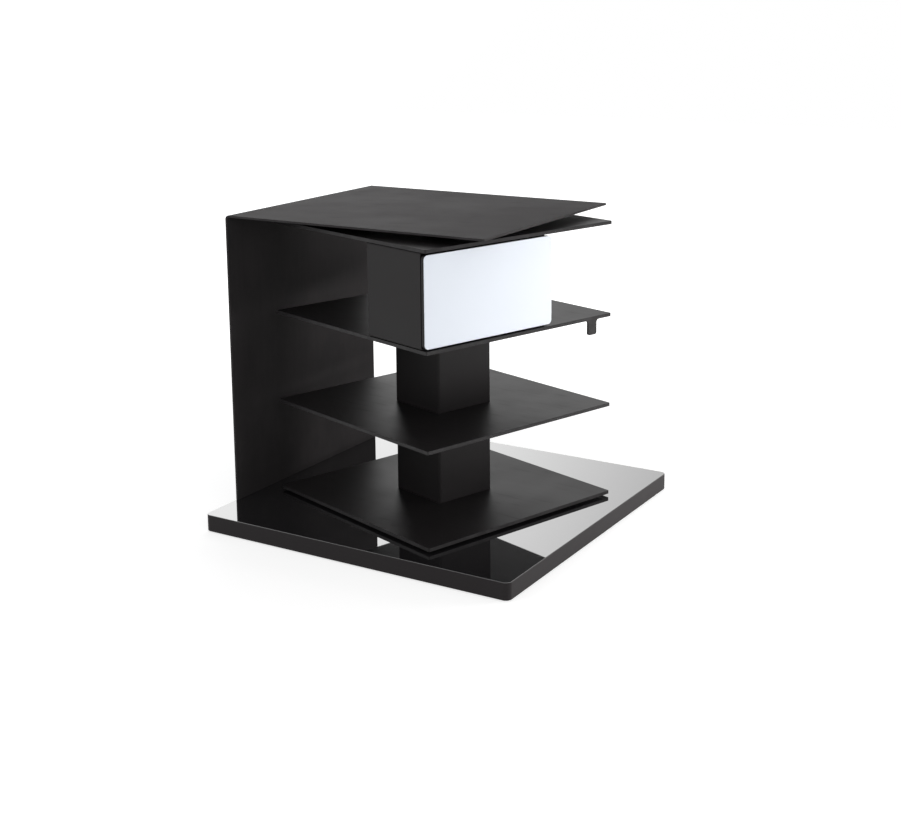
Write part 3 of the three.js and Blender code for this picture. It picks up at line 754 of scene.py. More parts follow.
def pad_rubber(recipe, settings):
    """Matt rubber with a dusty, finely pitted skin."""
    dust = recipe.noise(70.0, 4.0, 0.6)
    pits = recipe.noise(1900.0, 2.0, 0.6)
    return recipe.shader(
        Base_Color=recipe.shades(recipe.step(dust, 0.45, 0.75), settings.finishes.rubber, 1.0, 2.6),
        Roughness=0.78 + 0.14 * dust, Normal=recipe.bump(pits, 0.03 * MM),
    )


FINISH_MAKERS = {
    "gloss_black_lacquer": lacquered_board,
    "black_coated_sheet": coated_sheet,
    "black_coated_plate": coated_plate,
    "black_coated_box": coated_box,
    "white_gloss_facing": gloss_facing,
    "zinc_steel": zinc_plate,
    "bearing_steel": bearing_steel,
    "nylon": moulded_nylon,
    "black_rubber": pad_rubber,
}


def finish(look):
    """The material of a look, made the first time that it is asked for."""
    name = look + "_look"
    return bpy.data.materials.get(name) or FINISH_MAKERS[look](Recipe(name), bpy.context.scene.bookshelf)


def seat(piece, body, slot, *nodes, look=None):
    """Finishes a piece and lets it stand for the nodes it replaces on their body."""
    bpy.context.view_layer.update()
    smooth_faces(piece)
    piece.data.materials.clear()
    piece.data.materials.append(finish(look or slot))
    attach(piece, body)
    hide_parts(*nodes)


def seat_pattern(pattern, geometry, body, slot, *nodes, look=None, axes=None):
    """Ends a tree and seats the piece that it makes."""
    seat(pattern.finished(geometry, finish(look or slot), axes), body, slot, *nodes, look=look)


# Screws, and where they stand. The sizes of a screw are in the order of the inputs of its tree.

SCREW_INPUTS = ("Head_Radius", "Shank_Radius", "Head_Height", "Length", "Socket_Radius", "Socket_Depth")
FRAME_SCREW = (5 * MM, 2.5 * MM, 2.7 * MM, 28 * MM, 1.7 * MM, 1.6 * MM)
RING_SCREW = (3.4 * MM, 1.7 * MM, 1.9 * MM, 14 * MM, 1.2 * MM, 1.1 * MM)
POST_SCREW = (4.2 * MM, 2.1 * MM, 2.3 * MM, 11 * MM, 1.4 * MM, 1.3 * MM)
# A stem starts at this share of the height of the head or foot that it joins
OVERLAP = 0.9
# Radius of a pocket in the cage as a share of its ball's
POCKET_SHARE = 1.06


def numbered(name, count):
    return [f"{name}_{i}" for i in range(1, count + 1)]


def screw_pattern(name, screw, seed):
    """A tree that holds one countersunk hex-socket screw, head up at zero height, and its seeded turn."""
    pattern = Pattern(name)
    sizes = dict(zip(SCREW_INPUTS, screw))
    head, shank, rise, long, socket, deep, facets = pattern.inputs(**sizes, Facets=SCREW_FACETS)
    tip = shank * 0.5
    neck = rise * OVERLAP
    barrel = long - tip - neck
    body = pattern.union(
        pattern.raised(pattern.cone(facets, shank, head, rise), rise * -1.0),
        pattern.raised(pattern.cylinder(facets, shank, barrel), barrel * -0.5 - neck),
        pattern.raised(pattern.cone(facets, tip, shank, tip), long * -1.0),
    )
    # The inputs 2 and 3 and the output 1 of this node are those for numbers
    spin = pattern.add("FunctionNodeRandomValue", {2: 0.0, 3: math.tau, "Seed": seed}, 1, data_type="FLOAT")
    return pattern, pattern.difference(body, pattern.cylinder(HEX_SIDES, socket, deep * 2.0)), spin


def screw_holes(screw, gap, places):
    """Cutters for countersunk screws, one at each place, with their heads up at its zero height."""
    head, shank, rise, long, socket, deep = screw
    barrel, mouth = shank + gap, head + gap
    profile = [(barrel, -long - gap), (barrel, -rise - gap), (mouth, -gap), (mouth, CUT_PAST)]
    return [turned("hole", profile, place, HOLE_STEPS) for place in places]


def into_wall(y):
    """Axes of a screw that points into the wall at a place along it."""
    middle = (SHEET_LOW.z + BASE_HIGH.z) / 2
    return Matrix.Translation((BASE_LOW.x, y, middle)) @ Matrix.Rotation(-math.pi / 2, 4, "Y")


def wall_screw_places(hardware):
    """Where the screws stand along the foot of the sheet."""
    span = (SHEET_HIGH.y - SHEET_LOW.y) - 2 * hardware.screw_edge
    return [(i / (hardware.wall_screws - 1) - 0.5) * span for i in range(hardware.wall_screws)]


def wall_holes(hardware):
    return screw_holes(FRAME_SCREW, hardware.screw_gap, map(into_wall, wall_screw_places(hardware)))


def ring_screw_circle(settings):
    """Radius, height and first angle of the four screws in the lower ring."""
    board, hardware = settings.board, settings.hardware
    radius = hardware.track + hardware.race_lip + hardware.race_rim / 2
    return radius, BASE_HIGH.z - board.pocket_depth + hardware.race_thickness, 0.0


def post_screw_circle(settings):
    """Radius, height and first angle of the four screws in the post's flange."""
    hardware = settings.hardware
    return (hardware.post + hardware.flange) / 2, PLATE_TOPS[0] + hardware.flange_thickness, math.pi / 4


def circle_holes(screw, gap, radius, height, phase, axes=Matrix()):
    """Cutters for four screws on a circle."""
    out = Matrix.Translation((radius, 0, height))
    turns = (phase + i * math.tau / RING_SCREWS for i in range(RING_SCREWS))
    return screw_holes(screw, gap, [axes @ Matrix.Rotation(turn, 4, "Z") @ out for turn in turns])


# Operators: one for each piece or group of like pieces


class BOOKSHELF_OT_board(bpy.types.Operator):
    """Thick square board with a round pocket, a rebate for the sheet and recesses for the glides"""

    bl_idname = "bookshelf.board"
    bl_label = "Board"

    def execute(self, context):
        settings = context.scene.bookshelf
        board, fit, top = settings.board, settings.hardware.fit, BASE_HIGH.z
        outline = rounded(board.side, board.side, board.corner, WIDE_CORNER_STEPS)
        piece = slab("board", outline, eased(BASE_LOW.z, top, board.arris, WIDE_ARRIS_STEPS))
        past = top + CUT_PAST
        half = (SHEET_HIGH.y - SHEET_LOW.y) / 2 + fit
        inner = BASE_LOW.x + (settings.sheet.thickness + fit)
        tools = [
            turned("pocket", [(board.pocket, top - board.pocket_depth), (board.pocket, past)]),
            box("rebate", (BASE_LOW.x - CUT_PAST, -half, SHEET_LOW.z), (inner, half, past)),
        ]
        reach = board.side / 2 - board.glide_inset
        wide = board.glide_radius + fit
        recess = [(wide, BASE_LOW.z - CUT_PAST), (wide, BASE_LOW.z + board.glide_recess)]
        for x, y in ((-reach, -reach), (-reach, reach), (reach, -reach), (reach, reach)):
            tools.append(turned("recess", recess, Matrix.Translation((x, y, 0)), PAD_STEPS))
        combine(piece, tools + wall_holes(settings.hardware))
        seat(piece, "frame", "gloss_black_lacquer", "base_slab")
        return {"FINISHED"}


class BOOKSHELF_OT_glides(bpy.types.Operator):
    """Round rubber glide pads let into the underside of the board"""

    bl_idname = "bookshelf.glides"
    bl_label = "Glide pads"

    def execute(self, context):
        board = context.scene.bookshelf.board
        pattern = Pattern("glide_pads")
        radius, height, foot, spread, facets = pattern.inputs(
            Pad_Radius=board.glide_radius, Pad_Height=board.glide_height, Foot_Chamfer=board.glide_chamfer,
            Spacing=board.side - 2 * board.glide_inset, Facets=PAD_STEPS,
        )
        rest = height - foot * OVERLAP
        drum = pattern.raised(pattern.cylinder(facets, radius, rest), height - rest * 0.5)
        pad = pattern.union(pattern.cone(facets, radius - foot, radius, foot), drum)
        corners = {"Size X": spread, "Size Y": spread, "Vertices X": 2, "Vertices Y": 2}
        pads = pattern.copies(pattern.add("GeometryNodeMeshGrid", corners), pad)
        seat_pattern(pattern, pads, "frame", "black_rubber", *numbered("glide_pad", 4))
        return {"FINISHED"}


class BOOKSHELF_OT_sheet_frame(bpy.types.Operator):
    """Wall and top plate folded from one sheet, with countersunk holes along its foot"""

    bl_idname = "bookshelf.sheet_frame"
    bl_label = "Sheet frame"

    def execute(self, context):
        settings = context.scene.bookshelf
        sheet = settings.sheet
        outer = sheet.bend + sheet.thickness
        left, foot, top = SHEET_LOW.x, SHEET_LOW.z, SHEET_HIGH.z
        rise = top - outer - foot
        arc = (sheet.bend + sheet.thickness / 2) * math.pi / 2
        total = rise + arc + (SHEET_HIGH.x - (left + outer))
        half = (SHEET_HIGH.y - SHEET_LOW.y) / 2

        def blank(inset):
            """The flat blank: square at its foot, rounded at its free corners."""
            radius = sheet.corner - inset
            along, across = total - sheet.corner, half - sheet.corner
            corner = [(radius * math.sin(turn), radius * math.cos(turn)) for turn in quarter(CORNER_STEPS)]
            right = [(inset, -half + inset), *((along + s, -across - c) for s, c in corner)]
            return right + [(along + c, across + s) for s, c in corner] + [(inset, half - inset)]

        def folded(s, y, t):
            """Where a point of the blank comes to lie, s up from its foot and t in from its outer face."""
            if s <= rise:
                return left + t, y, foot + s
            if s > rise + arc:
                return left + outer + s - rise - arc, y, top - t
            turn = (s - rise) / arc * math.pi / 2
            return left + outer - (outer - t) * math.cos(turn), y, top - outer + (outer - t) * math.sin(turn)

        shaper = Shaper()
        levels = eased(0.0, sheet.thickness, sheet.arris, FINE_ARRIS_STEPS)
        for end in shaper.wall([lifted(blank(inset), t) for inset, t in levels]):
            shaper.cap(end)
        bm = shaper.bm
        for i in range(BEND_STEPS + 1):
            place = (rise + arc * i / BEND_STEPS, 0, 0)
            whole = bm.verts[:] + bm.edges[:] + bm.faces[:]
            bmesh.ops.bisect_plane(bm, geom=whole, plane_co=place, plane_no=(1, 0, 0), dist=SAME_PLACE)
        for vertex in bm.verts:
            vertex.co = folded(*vertex.co)
        piece = shaper.piece("sheet_frame")
        combine(piece, wall_holes(settings.hardware))
        seat(piece, "frame", "black_coated_sheet", "frame_sheet")
        return {"FINISHED"}


class BOOKSHELF_OT_screws(bpy.types.Operator):
    """Countersunk hex-socket screws: in the wall's foot, in the lower ring and in the post's flange"""

    bl_idname = "bookshelf.screws"
    bl_label = "Screws"

    def execute(self, context):
        settings = context.scene.bookshelf
        places = wall_screw_places(settings.hardware)
        pattern, screw, spin = screw_pattern("wall_screws", FRAME_SCREW, seed=11)
        count, first, gap = pattern.inputs(
            Count=len(places), First_Place=places[0], Spacing=places[1] - places[0]
        )
        line = {"Count": count, "Start Location": pattern.vector(y=first), "Offset": pattern.vector(y=gap)}
        points = pattern.add("GeometryNodeMeshLine", line, mode="OFFSET")
        screws, nodes = pattern.copies(points, screw, spin), numbered("frame_screw", WALL_SCREWS)
        seat_pattern(pattern, screws, "frame", "zinc_steel", *nodes, axes=into_wall(0))
        self.ring_of_screws("ring", RING_SCREW, 23, ring_screw_circle(settings), "frame")
        self.ring_of_screws("post", POST_SCREW, 37, post_screw_circle(settings), "unit", UNIT_AXES)
        return {"FINISHED"}

    def ring_of_screws(self, name, size, seed, where, body, axes=None):
        """Screws on a circle that is given by its radius, its height and its first angle."""
        pattern, screw, spin = screw_pattern(name + "_screws", size, seed)
        sizes = dict(zip(("Circle_Radius", "Face_Height", "Phase"), where))
        radius, height, phase, count = pattern.inputs(**sizes, Count=RING_SCREWS)
        points = pattern.raised(pattern.hoop(count, radius), height, phase)
        screws, nodes = pattern.copies(points, screw, spin), numbered(name + "_screw", RING_SCREWS)
        seat_pattern(pattern, screws, body, "zinc_steel", *nodes, axes=axes)


def groove(hardware, ball_height, face):
    """Points of a race groove from the bore outwards."""
    radius = hardware.ball + hardware.groove_play
    rise = face - ball_height
    half = math.acos(abs(rise) / radius)
    angles = [half * (2 * i / GROOVE_STEPS - 1) for i in range(GROOVE_STEPS + 1)]
    return [
        (hardware.track + radius * math.sin(a), ball_height + math.copysign(radius * math.cos(a), rise))
        for a in angles
    ]


class BOOKSHELF_OT_ball_ring(bpy.types.Operator):
    """Two grooved rings and, between them, twenty balls in a pierced cage"""

    bl_idname = "bookshelf.ball_ring"
    bl_label = "Ball ring"

    def execute(self, context):
        settings = context.scene.bookshelf
        hardware = settings.hardware
        floor = BASE_HIGH.z - settings.board.pocket_depth
        face = floor + hardware.race_thickness
        balls_at = face + hardware.race_gap / 2
        inner, outer = hardware.track - hardware.race_lip, hardware.track + hardware.race_lip
        rim, soft = outer + hardware.race_rim, hardware.race_arris
        profile = [
            (inner, floor), (rim, floor), (rim, face - soft), (rim - soft, face),
            *reversed(groove(hardware, balls_at, face)), (inner + soft, face), (inner, face - soft),
        ]
        lower = turned("ball_ring_lower_fine", profile, closed=True)
        combine(lower, circle_holes(RING_SCREW, hardware.screw_gap, *ring_screw_circle(settings)))
        seat(lower, "frame", "bearing_steel", "ball_ring_lower")

        top = PLATE_TOPS[0] - settings.unit.thickness
        face, bore = top - hardware.race_thickness, hardware.post
        profile = [
            (bore, face + soft), (bore + soft, face), *groove(hardware, balls_at, face),
            (outer - soft, face), (outer, face + soft), (outer, top), (bore, top),
        ]
        upper = turned("ball_ring_upper_fine", profile, UNIT_AXES, closed=True)
        seat(upper, "unit", "bearing_steel", "ball_ring_upper")

        pattern, track, hoop, height = self.hoop_pattern("ball_cage_fine", hardware, balls_at)
        width, thick, pocket, facets = pattern.inputs(
            Cage_Half_Width=hardware.cage_half, Cage_Thickness=hardware.cage_thickness,
            Pocket_Radius=hardware.ball * POCKET_SHARE, Facets=CAGE_FACETS,
        )
        through = thick * 3.0
        pierced = pattern.difference(
            pattern.cylinder(facets, track + width, thick),
            pattern.cylinder(facets, track - width, through),
            pattern.real(pattern.copies(hoop, pattern.cylinder(POCKET_FACETS, pocket, through))),
        )
        seat_pattern(pattern, pattern.raised(pierced, height), "cage", "nylon", "ball_cage")

        pattern, track, hoop, height = self.hoop_pattern("ball_set", hardware, balls_at)
        radius, = pattern.inputs(Ball_Radius=hardware.ball)
        sphere = {"Segments": BALL_SEGMENTS, "Rings": BALL_RINGS, "Radius": radius}
        balls = pattern.raised(pattern.copies(hoop, pattern.add("GeometryNodeMeshUVSphere", sphere)), height)
        seat_pattern(pattern, balls, "cage", "nylon", "ball_cage", look="bearing_steel")
        return {"FINISHED"}

    def hoop_pattern(self, name, hardware, balls_at):
        """A tree with the track's radius, the points of the balls on it and the balls' height."""
        pattern = Pattern(name)
        track, count, height = pattern.inputs(
            Track_Radius=hardware.track, Balls=hardware.balls, Ball_Height=balls_at
        )
        return pattern, track, pattern.hoop(count, track), height


class BOOKSHELF_OT_pivot(bpy.types.Operator):
    """Post with its flange and nut, and above it the pin that turns in the post's bush"""

    bl_idname = "bookshelf.pivot"
    bl_label = "Post and pivot"

    def execute(self, context):
        settings = context.scene.bookshelf
        hardware = settings.hardware
        post, flange, pin, disc = hardware.post, hardware.flange, hardware.pin, hardware.pin_flange
        bore, soft, fit = post - hardware.post_wall, hardware.arris, hardware.fit
        foot, top = PLATE_TOPS[0], PLATE_TOPS[3]
        face, head = foot + hardware.flange_thickness, top + hardware.nut_height
        profile = [
            (bore, foot), (flange, foot), (flange, face - soft), (flange - soft, face),
            (post, face), (post, head - soft), (post - soft, head), (bore, head),
        ]
        piece = turned("post_tube", profile, UNIT_AXES, closed=True)
        combine(piece, circle_holes(POST_SCREW, hardware.screw_gap, *post_screw_circle(settings), UNIT_AXES))
        seat(piece, "unit", "zinc_steel", "post")

        def hexagon(inset):
            return circle(hardware.nut - inset, HEX_SIDES, math.pi / 2)

        levels = eased(top, head, hardware.nut_arris, FINE_ARRIS_STEPS)
        piece = slab("post_nut_fine", hexagon, levels, (post + fit, hardware.nut_chamfer), UNIT_AXES)
        seat(piece, "unit", "zinc_steel", "post_nut")

        barrel, hole = bore - fit, pin + fit
        lip, lip_top = barrel + hardware.bush_overhang, head + hardware.bush_flange
        low = lip_top - hardware.bush_length
        profile = [
            (hole, low + soft), (hole + soft, low), (barrel - soft, low), (barrel, low + soft),
            (barrel, head), (lip, head), (lip, lip_top - soft), (lip - soft, lip_top),
            (hole + soft, lip_top), (hole, lip_top - soft),
        ]
        seat(turned("pivot_bush", profile, UNIT_AXES, closed=True), "unit", "nylon", "top_bush")

        under, chamfer = SHEET_HIGH.z - settings.sheet.thickness, hardware.pin_chamfer
        face, tip = under - hardware.pin_flange_thickness, under - hardware.pin_length
        profile = [
            (pin - chamfer, tip), (pin, tip + chamfer), (pin, face),
            (disc - soft, face), (disc, face + soft), (disc, under),
        ]
        seat(turned("pivot_pin_fine", profile), "frame", "bearing_steel", "pivot_pin")
        return {"FINISHED"}


def lug(unit, under):
    """The tab under a plate, with fillets at its root, as one solid with a bit of the plate."""
    root, end = unit.lug_root, unit.lug_end
    low, turns = end - unit.lug_drop, quarter(LUG_STEPS)

    def outline(inset):
        wide, tight = root + inset, end - inset
        left = [(-root, unit.thickness / 2)]
        left += [(-root + wide * math.sin(t), -root + wide * math.cos(t)) for t in turns]
        left += [(end - tight * math.cos(t), low - tight * math.sin(t)) for t in turns]
        return left + [(unit.lug_width - across, height) for across, height in reversed(left)]

    back, start = unit.half - unit.lug_thickness, unit.half - unit.lug_inset - unit.lug_width
    levels = eased(0.0, unit.lug_thickness, unit.lug_arris, FINE_ARRIS_STEPS)
    rings = [upright(outline(inset), back + depth) for inset, depth in levels]
    return loft("lug", rings, UNIT_AXES @ Matrix.Translation((0, start, under)))


class BOOKSHELF_OT_plates(bpy.types.Operator):
    """Four thin plates with eased edges, the third with a lug bent down from its edge"""

    bl_idname = "bookshelf.plates"
    bl_label = "Plates"

    def execute(self, context):
        settings = context.scene.bookshelf
        unit, hardware = settings.unit, settings.hardware
        outline = rounded(2 * unit.half, 2 * unit.half, unit.corner)
        names = ("plate_bottom", "plate_lower", "plate_upper", "plate_top")
        for name, node, top in zip(names, PLATE_NODES, PLATE_TOPS):
            bore = hardware.post + (-hardware.post_wall if name == "plate_bottom" else hardware.fit)
            levels = eased(top - unit.thickness, top, unit.arris)
            piece = slab(name, outline, levels, (bore, unit.bore_chamfer), UNIT_AXES)
            if name == "plate_upper":
                combine(piece, [lug(unit, top - unit.thickness)], "UNION")
            seat(piece, "unit", "black_coated_plate", node)
        return {"FINISHED"}


class BOOKSHELF_OT_spine(bpy.types.Operator):
    """Square spine sleeve in each of the three levels"""

    bl_idname = "bookshelf.spine"
    bl_label = "Spine"

    def execute(self, context):
        unit = context.scene.bookshelf.unit
        wall, corner = unit.spine_wall, unit.spine_corner
        outside = rounded(unit.spine, unit.spine, corner)()
        inside = rounded(unit.spine - 2 * wall, unit.spine - 2 * wall, corner - wall)()
        for name, low, above in zip(("lower", "middle", "upper"), PLATE_TOPS, PLATE_TOPS[1:]):
            high = above - unit.thickness
            rings = [lifted(outside, low), lifted(outside, high), lifted(inside, high), lifted(inside, low)]
            piece = loft("spine_" + name, rings, UNIT_AXES, closed=True)
            seat(piece, "unit", "black_coated_plate", "spine_sleeve_" + name, look="black_coated_box")
        return {"FINISHED"}


class DrawerPlaces:
    """Places of the drawer in the unit's own axes: +X out of its front, Y along it."""

    def __init__(self, settings):
        drawer, unit, fit = settings.drawer, settings.unit, settings.hardware.fit
        self.floor = PLATE_TOPS[2]
        self.ceiling = PLATE_TOPS[3] - unit.thickness
        self.back = unit.spine / 2 + fit
        self.facing_front = unit.half - drawer.front_recess
        self.facing_back = self.facing_front - drawer.facing
        self.core_front = self.facing_back - drawer.glue
        self.core_back = self.core_front - drawer.core
        self.housing_front = self.core_back - drawer.gap_behind
        self.width = unit.spine / 2 + unit.half
        self.middle = (unit.spine / 2 - unit.half) / 2
        self.inner_width = self.width - 2 * drawer.wall
        self.runner_back = self.back + drawer.wall + drawer.runner_end
        self.runner_front = self.housing_front - drawer.runner_end
        self.runner_height = self.floor + drawer.wall + drawer.runner_lift + drawer.runner_height / 2
        self.tray_width = self.inner_width - 2 * (drawer.runner_depth + drawer.runner_proud + 2 * fit)
        self.tray_front = self.core_back - fit
        self.tray_floor = self.floor + drawer.wall + drawer.tray_lift


def channel(depth, height, wall, bend, soft):
    """A folded channel's section: its web at zero, its flanges towards +Y, with rounded folds."""
    turns, outer, top = quarter(FOLD_STEPS), bend + wall, height / 2
    edge, low, centre = depth - soft, top - wall, top - outer
    upper = [(outer - outer * math.cos(t), centre + outer * math.sin(t)) for t in turns]
    upper += [(edge, top), (depth, top - soft), (depth, low + soft), (edge, low)]
    upper += [(outer - bend * math.cos(t), centre + bend * math.sin(t)) for t in reversed(turns)]
    return upper + [(y, -z) for y, z in reversed(upper)]


def runner(settings, places, kind, side):
    """An outer or inner runner, made for the left wall of the housing and turned over for the right one."""
    drawer, fit = settings.drawer, settings.hardware.fit
    wall, bend, soft = drawer.runner_wall, drawer.runner_bend, drawer.runner_arris
    reach = drawer.runner_depth + drawer.runner_proud
    if kind == "inner":
        play = drawer.runner_play
        outline = channel(reach - wall - play, drawer.runner_height - 2 * (wall + play), wall, bend, soft)
        outline = [(reach - y, -z) for y, z in outline]
    else:
        outline = channel(drawer.runner_depth, drawer.runner_height, wall, bend, soft)
    ends = [upright(outline, x) for x in (places.runner_back, places.runner_front)]
    piece = loft(f"runner_{kind}_fine_{side}", ends)

    stud_x = places.runner_front - drawer.stud_inset
    lay = Matrix.Rotation(-math.pi / 2, 4, "X")
    if kind == "inner":
        radius = drawer.stud_radius + fit
        slot = rounded(drawer.travel + 2 * radius, 2 * radius, radius, SLOT_STEPS)()
        rings = [lifted(slot, depth) for depth in (drawer.runner_depth / 2, reach + CUT_PAST)]
        combine(piece, [loft("slot", rings, Matrix.Translation((stud_x - drawer.travel / 2, 0, 0)) @ lay)])
    else:
        radius, tip = drawer.stud_radius, reach - fit
        profile = [(radius, wall / 2), (radius, tip - soft), (radius - soft, tip)]
        stud = turned("stud", profile, Matrix.Translation((stud_x, 0, 0)) @ lay, STUD_STEPS)
        combine(piece, [stud], "UNION")
    if side == "right":
        piece.data.transform(Matrix.Rotation(math.pi, 4, "X"))
    out = (places.inner_width / 2 - fit) * (1 if side == "right" else -1)
    piece.data.transform(UNIT_AXES @ Matrix.Translation((0, places.middle + out, places.runner_height)))
    return piece


def seat_runners(settings, places, kind, body):
    """The left and the right runner of a kind."""
    for side in ("left", "right"):
        seat(runner(settings, places, kind, side), body, "zinc_steel", f"runner_{kind}_{side}")


class BOOKSHELF_OT_drawer_housing(bpy.types.Operator):
    """Housing of the drawer, open at its front, with the two outer runners"""

    bl_idname = "bookshelf.drawer_housing"
    bl_label = "Drawer housing"

    def execute(self, context):
        settings = context.scene.bookshelf
        drawer, places = settings.drawer, DrawerPlaces(settings)
        outline = rounded(places.width, places.ceiling - places.floor, drawer.corner)
        levels = open_box_levels(places.back, places.housing_front, drawer.wall, drawer.arris)
        middle_z = (places.floor + places.ceiling) / 2
        piece = panel("drawer_housing_fine", outline, levels, places.middle, middle_z)
        seat(piece, "unit", "black_coated_plate", "drawer_housing", look="black_coated_box")
        seat_runners(settings, places, "outer", "unit")
        return {"FINISHED"}


class BOOKSHELF_OT_drawer(bpy.types.Operator):
    """Sliding drawer: tray, black core of its front, white facing and the two inner runners"""

    bl_idname = "bookshelf.drawer"
    bl_label = "Drawer"

    def execute(self, context):
        settings = context.scene.bookshelf
        drawer, places = settings.drawer, DrawerPlaces(settings)
        floor = places.tray_floor
        outline = rounded(places.tray_front - places.runner_back, places.tray_width, drawer.tray_corner)
        levels = open_box_levels(floor, floor + drawer.tray_height, drawer.tray_wall, drawer.tray_arris)
        middle = Matrix.Translation(((places.tray_front + places.runner_back) / 2, places.middle, 0))
        piece = slab("drawer_tray_fine", outline, levels, axes=UNIT_AXES @ middle)
        seat(piece, "drawer", "black_coated_plate", "drawer_tray", look="black_coated_box")

        height = places.ceiling - places.floor - drawer.gap_below - drawer.gap_above
        outline = rounded(drawer.front_width, height, drawer.front_corner, WIDE_CORNER_STEPS)
        middle = drawer.front_width / 2 - settings.unit.half, places.floor + drawer.gap_below + height / 2
        levels = eased(places.core_back, places.core_front, drawer.core_arris)
        piece = panel("drawer_front_core", outline, levels, *middle)
        seat(piece, "drawer", "black_coated_plate", "drawer_front", look="black_coated_box")
        levels = eased(places.facing_back, places.facing_front, drawer.facing_arris)
        piece = panel("drawer_front_facing", outline, levels, *middle)
        seat(piece, "drawer", "white_gloss_facing", "drawer_facing")
        seat_runners(settings, places, "inner", "drawer")
        return {"FINISHED"}


# Stage: floor, world, lamps and camera

FLOOR_REACH = 6.0
# Distances from the axis between which the floor's glow grows
GLOW_START, GLOW_END = 0.35, 1.5

# Seen from above the camera is turned left of +Y by its yaw, and it looks down by its pitch
CAMERA_PLACE = (1.10554, -1.77530, 0.76835)
CAMERA_YAW = math.radians(31.57)
CAMERA_PITCH = math.radians(11.243)
CAMERA_ROLL = math.radians(-0.551)
CAMERA_LENS = 58.779
CAMERA_SHIFT = -0.15

# The middle of the lit screen behind the object, as a direction, and the cosine at its soft edge
SCREEN_WAY = Vector((-0.68, 0.66, 0.30)).normalized()
SCREEN_EDGE = 0.903

# Place, target, size and colour of each lamp, whose power is the stage's setting of the same name
CENTRE = (0, 0, 0.22)
LAMPS = {
    "key": ((0.95, 0.42, 0.16), (0.17, -0.02, 0.35), (0.4, 0.3), (1.0, 0.99, 0.975)),
    "side": ((1.9, -1.7, 1.0), CENTRE, (1.4, 1.4), (1.0, 0.995, 0.985)),
    "fill": ((-1.6, -2.4, 1.9), CENTRE, (1.8, 1.8), (0.97, 0.985, 1.0)),
    "back": ((-0.9, 2.2, 2.9), CENTRE, (2.2, 1.6), (1.0, 1.0, 1.0)),
}


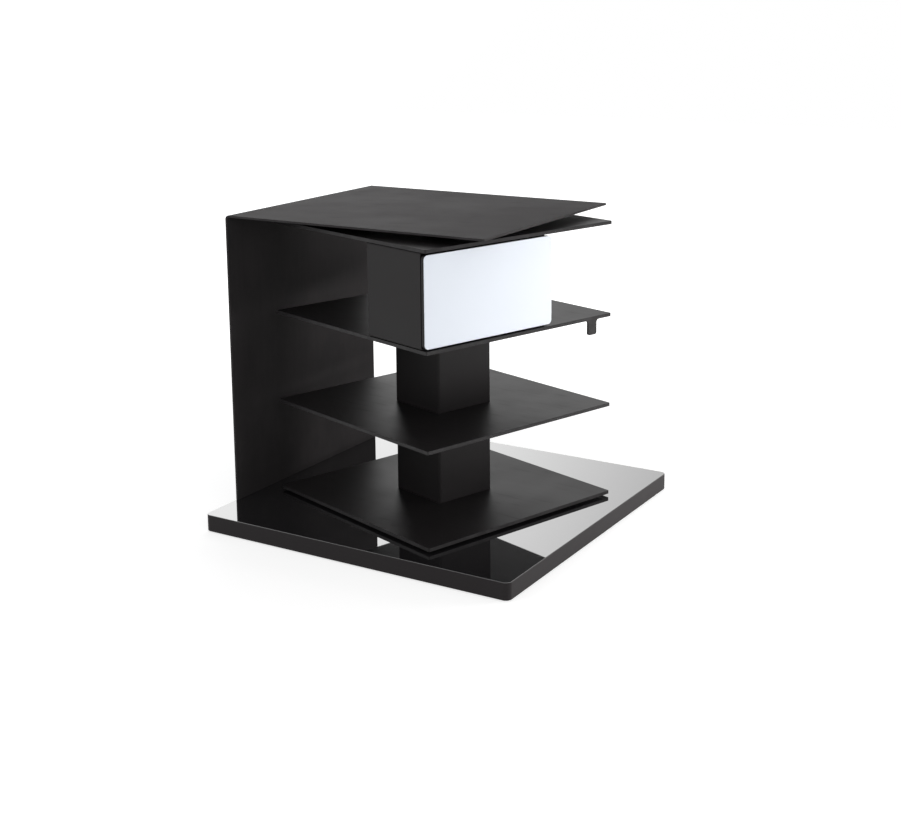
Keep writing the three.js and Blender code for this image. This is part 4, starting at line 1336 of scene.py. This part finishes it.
class BOOKSHELF_OT_stage(bpy.types.Operator):
    """Pale floor, white surroundings, soft lamps and the camera"""

    bl_idname = "bookshelf.stage"
    bl_label = "Stage"

    def execute(self, context):
        stage = context.scene.bookshelf.stage
        self.make_floor(stage)
        self.make_world(context, stage)
        for name, lamp in LAMPS.items():
            self.hang_lamp(name + "_lamp", getattr(stage, name), *lamp)
        self.make_camera(context)
        context.scene.view_settings.view_transform = "Standard"
        return {"FINISHED"}

    def hang_lamp(self, name, power, place, target, size, tint):
        """A soft lamp that looks at its target and shows in no reflection."""
        data = bpy.data.lights.new(name, "AREA")
        data.shape = "RECTANGLE"
        data.size, data.size_y = size
        data.energy = power
        data.color = tint
        lamp = placed(name, data)
        lamp.location = place
        lamp.rotation_mode = "QUATERNION"
        lamp.rotation_quaternion = (Vector(target) - Vector(place)).to_track_quat("-Z", "Y")
        lamp.visible_glossy = False

    def make_floor(self, stage):
        mesh = bpy.data.meshes.new("floor")
        sides = (-FLOOR_REACH, FLOOR_REACH)
        mesh.from_pydata([(x, y, 0) for x in sides for y in sides], [], [(0, 2, 3, 1)])
        recipe = Recipe("pale_floor")
        lit = recipe.add("ShaderNodeBsdfDiffuse", {"Color": (stage.floor,) * 3 + (1.0,)})
        x, y, z = recipe.parts(recipe.place)
        far = recipe.step((x * x + y * y) ** 0.5, GLOW_START, GLOW_END)
        strength = recipe.seen() * (stage.floor_glow + far * stage.far_glow)
        glow = recipe.add("ShaderNodeEmission", {"Strength": strength})
        both = recipe.add("ShaderNodeAddShader", {0: lit, 1: glow})
        mesh.materials.append(recipe.ended("ShaderNodeOutputMaterial", both))
        placed("floor", mesh)

    def make_world(self, context, stage):
        context.scene.world = bpy.data.worlds.new("studio")
        recipe = Recipe("studio", context.scene.world)
        towards = sum(way * part for way, part in zip(recipe.parts(recipe.place), SCREEN_WAY))
        screen = stage.screen * recipe.step(towards, SCREEN_EDGE, 1.0)
        white, falling = (
            recipe.add("ShaderNodeBackground", {"Color": (1, 1, 1, 1), "Strength": strength})
            for strength in (1.0 + screen, stage.ambient)
        )
        mixed = recipe.add("ShaderNodeMixShader", {0: recipe.seen(), 1: falling, 2: white})
        recipe.ended("ShaderNodeOutputWorld", mixed)

    def make_camera(self, context):
        data = bpy.data.cameras.new("camera")
        data.lens = CAMERA_LENS
        data.shift_y = CAMERA_SHIFT
        camera = placed("camera", data)
        camera.matrix_world = (
            Matrix.Translation(CAMERA_PLACE) @ Matrix.Rotation(CAMERA_YAW, 4, "Z")
            @ Matrix.Rotation(math.pi / 2 - CAMERA_PITCH, 4, "X") @ Matrix.Rotation(CAMERA_ROLL, 4, "Z")
        )
        context.scene.camera = camera


class BOOKSHELF_PT_sidebar(bpy.types.Panel):
    """Sizes, finishes and pieces of the bookshelf"""

    bl_idname = "BOOKSHELF_PT_sidebar"
    bl_label = "Spine Bookshelf"
    bl_space_type = "VIEW_3D"
    bl_region_type = "UI"
    bl_category = "Bookshelf"

    def draw(self, context):
        settings = context.scene.bookshelf
        for part in settings.__annotations__:
            group = getattr(settings, part)
            rows = self.layout.box()
            rows.label(text=settings.bl_rna.properties[part].name)
            for key in group.__annotations__:
                rows.prop(group, key)
        for operator in OPERATORS:
            self.layout.operator(operator.bl_idname)


OPERATORS = (
    BOOKSHELF_OT_board, BOOKSHELF_OT_glides, BOOKSHELF_OT_sheet_frame, BOOKSHELF_OT_ball_ring,
    BOOKSHELF_OT_plates, BOOKSHELF_OT_spine, BOOKSHELF_OT_pivot, BOOKSHELF_OT_screws,
    BOOKSHELF_OT_drawer_housing, BOOKSHELF_OT_drawer, BOOKSHELF_OT_stage,
)
GROUPS = (
    BoardSizes, SheetSizes, UnitSizes, DrawerSizes, HardwareSizes, Finishes, StageSettings,
    BookshelfSettings,
)
CLASSES = GROUPS + OPERATORS + (BOOKSHELF_PT_sidebar,)


def register():
    for cls in CLASSES:
        bpy.utils.register_class(cls)
    bpy.types.Scene.bookshelf = PointerProperty(type=BookshelfSettings)


def unregister():
    del bpy.types.Scene.bookshelf
    for cls in reversed(CLASSES):
        bpy.utils.unregister_class(cls)


def main():
    register()
    for operator in OPERATORS:
        group, name = operator.bl_idname.split(".")
        result = getattr(getattr(bpy.ops, group), name)()
        if result != {"FINISHED"}:
            raise RuntimeError(operator.bl_label + " was not made")


if __name__ == "__main__":
    main()
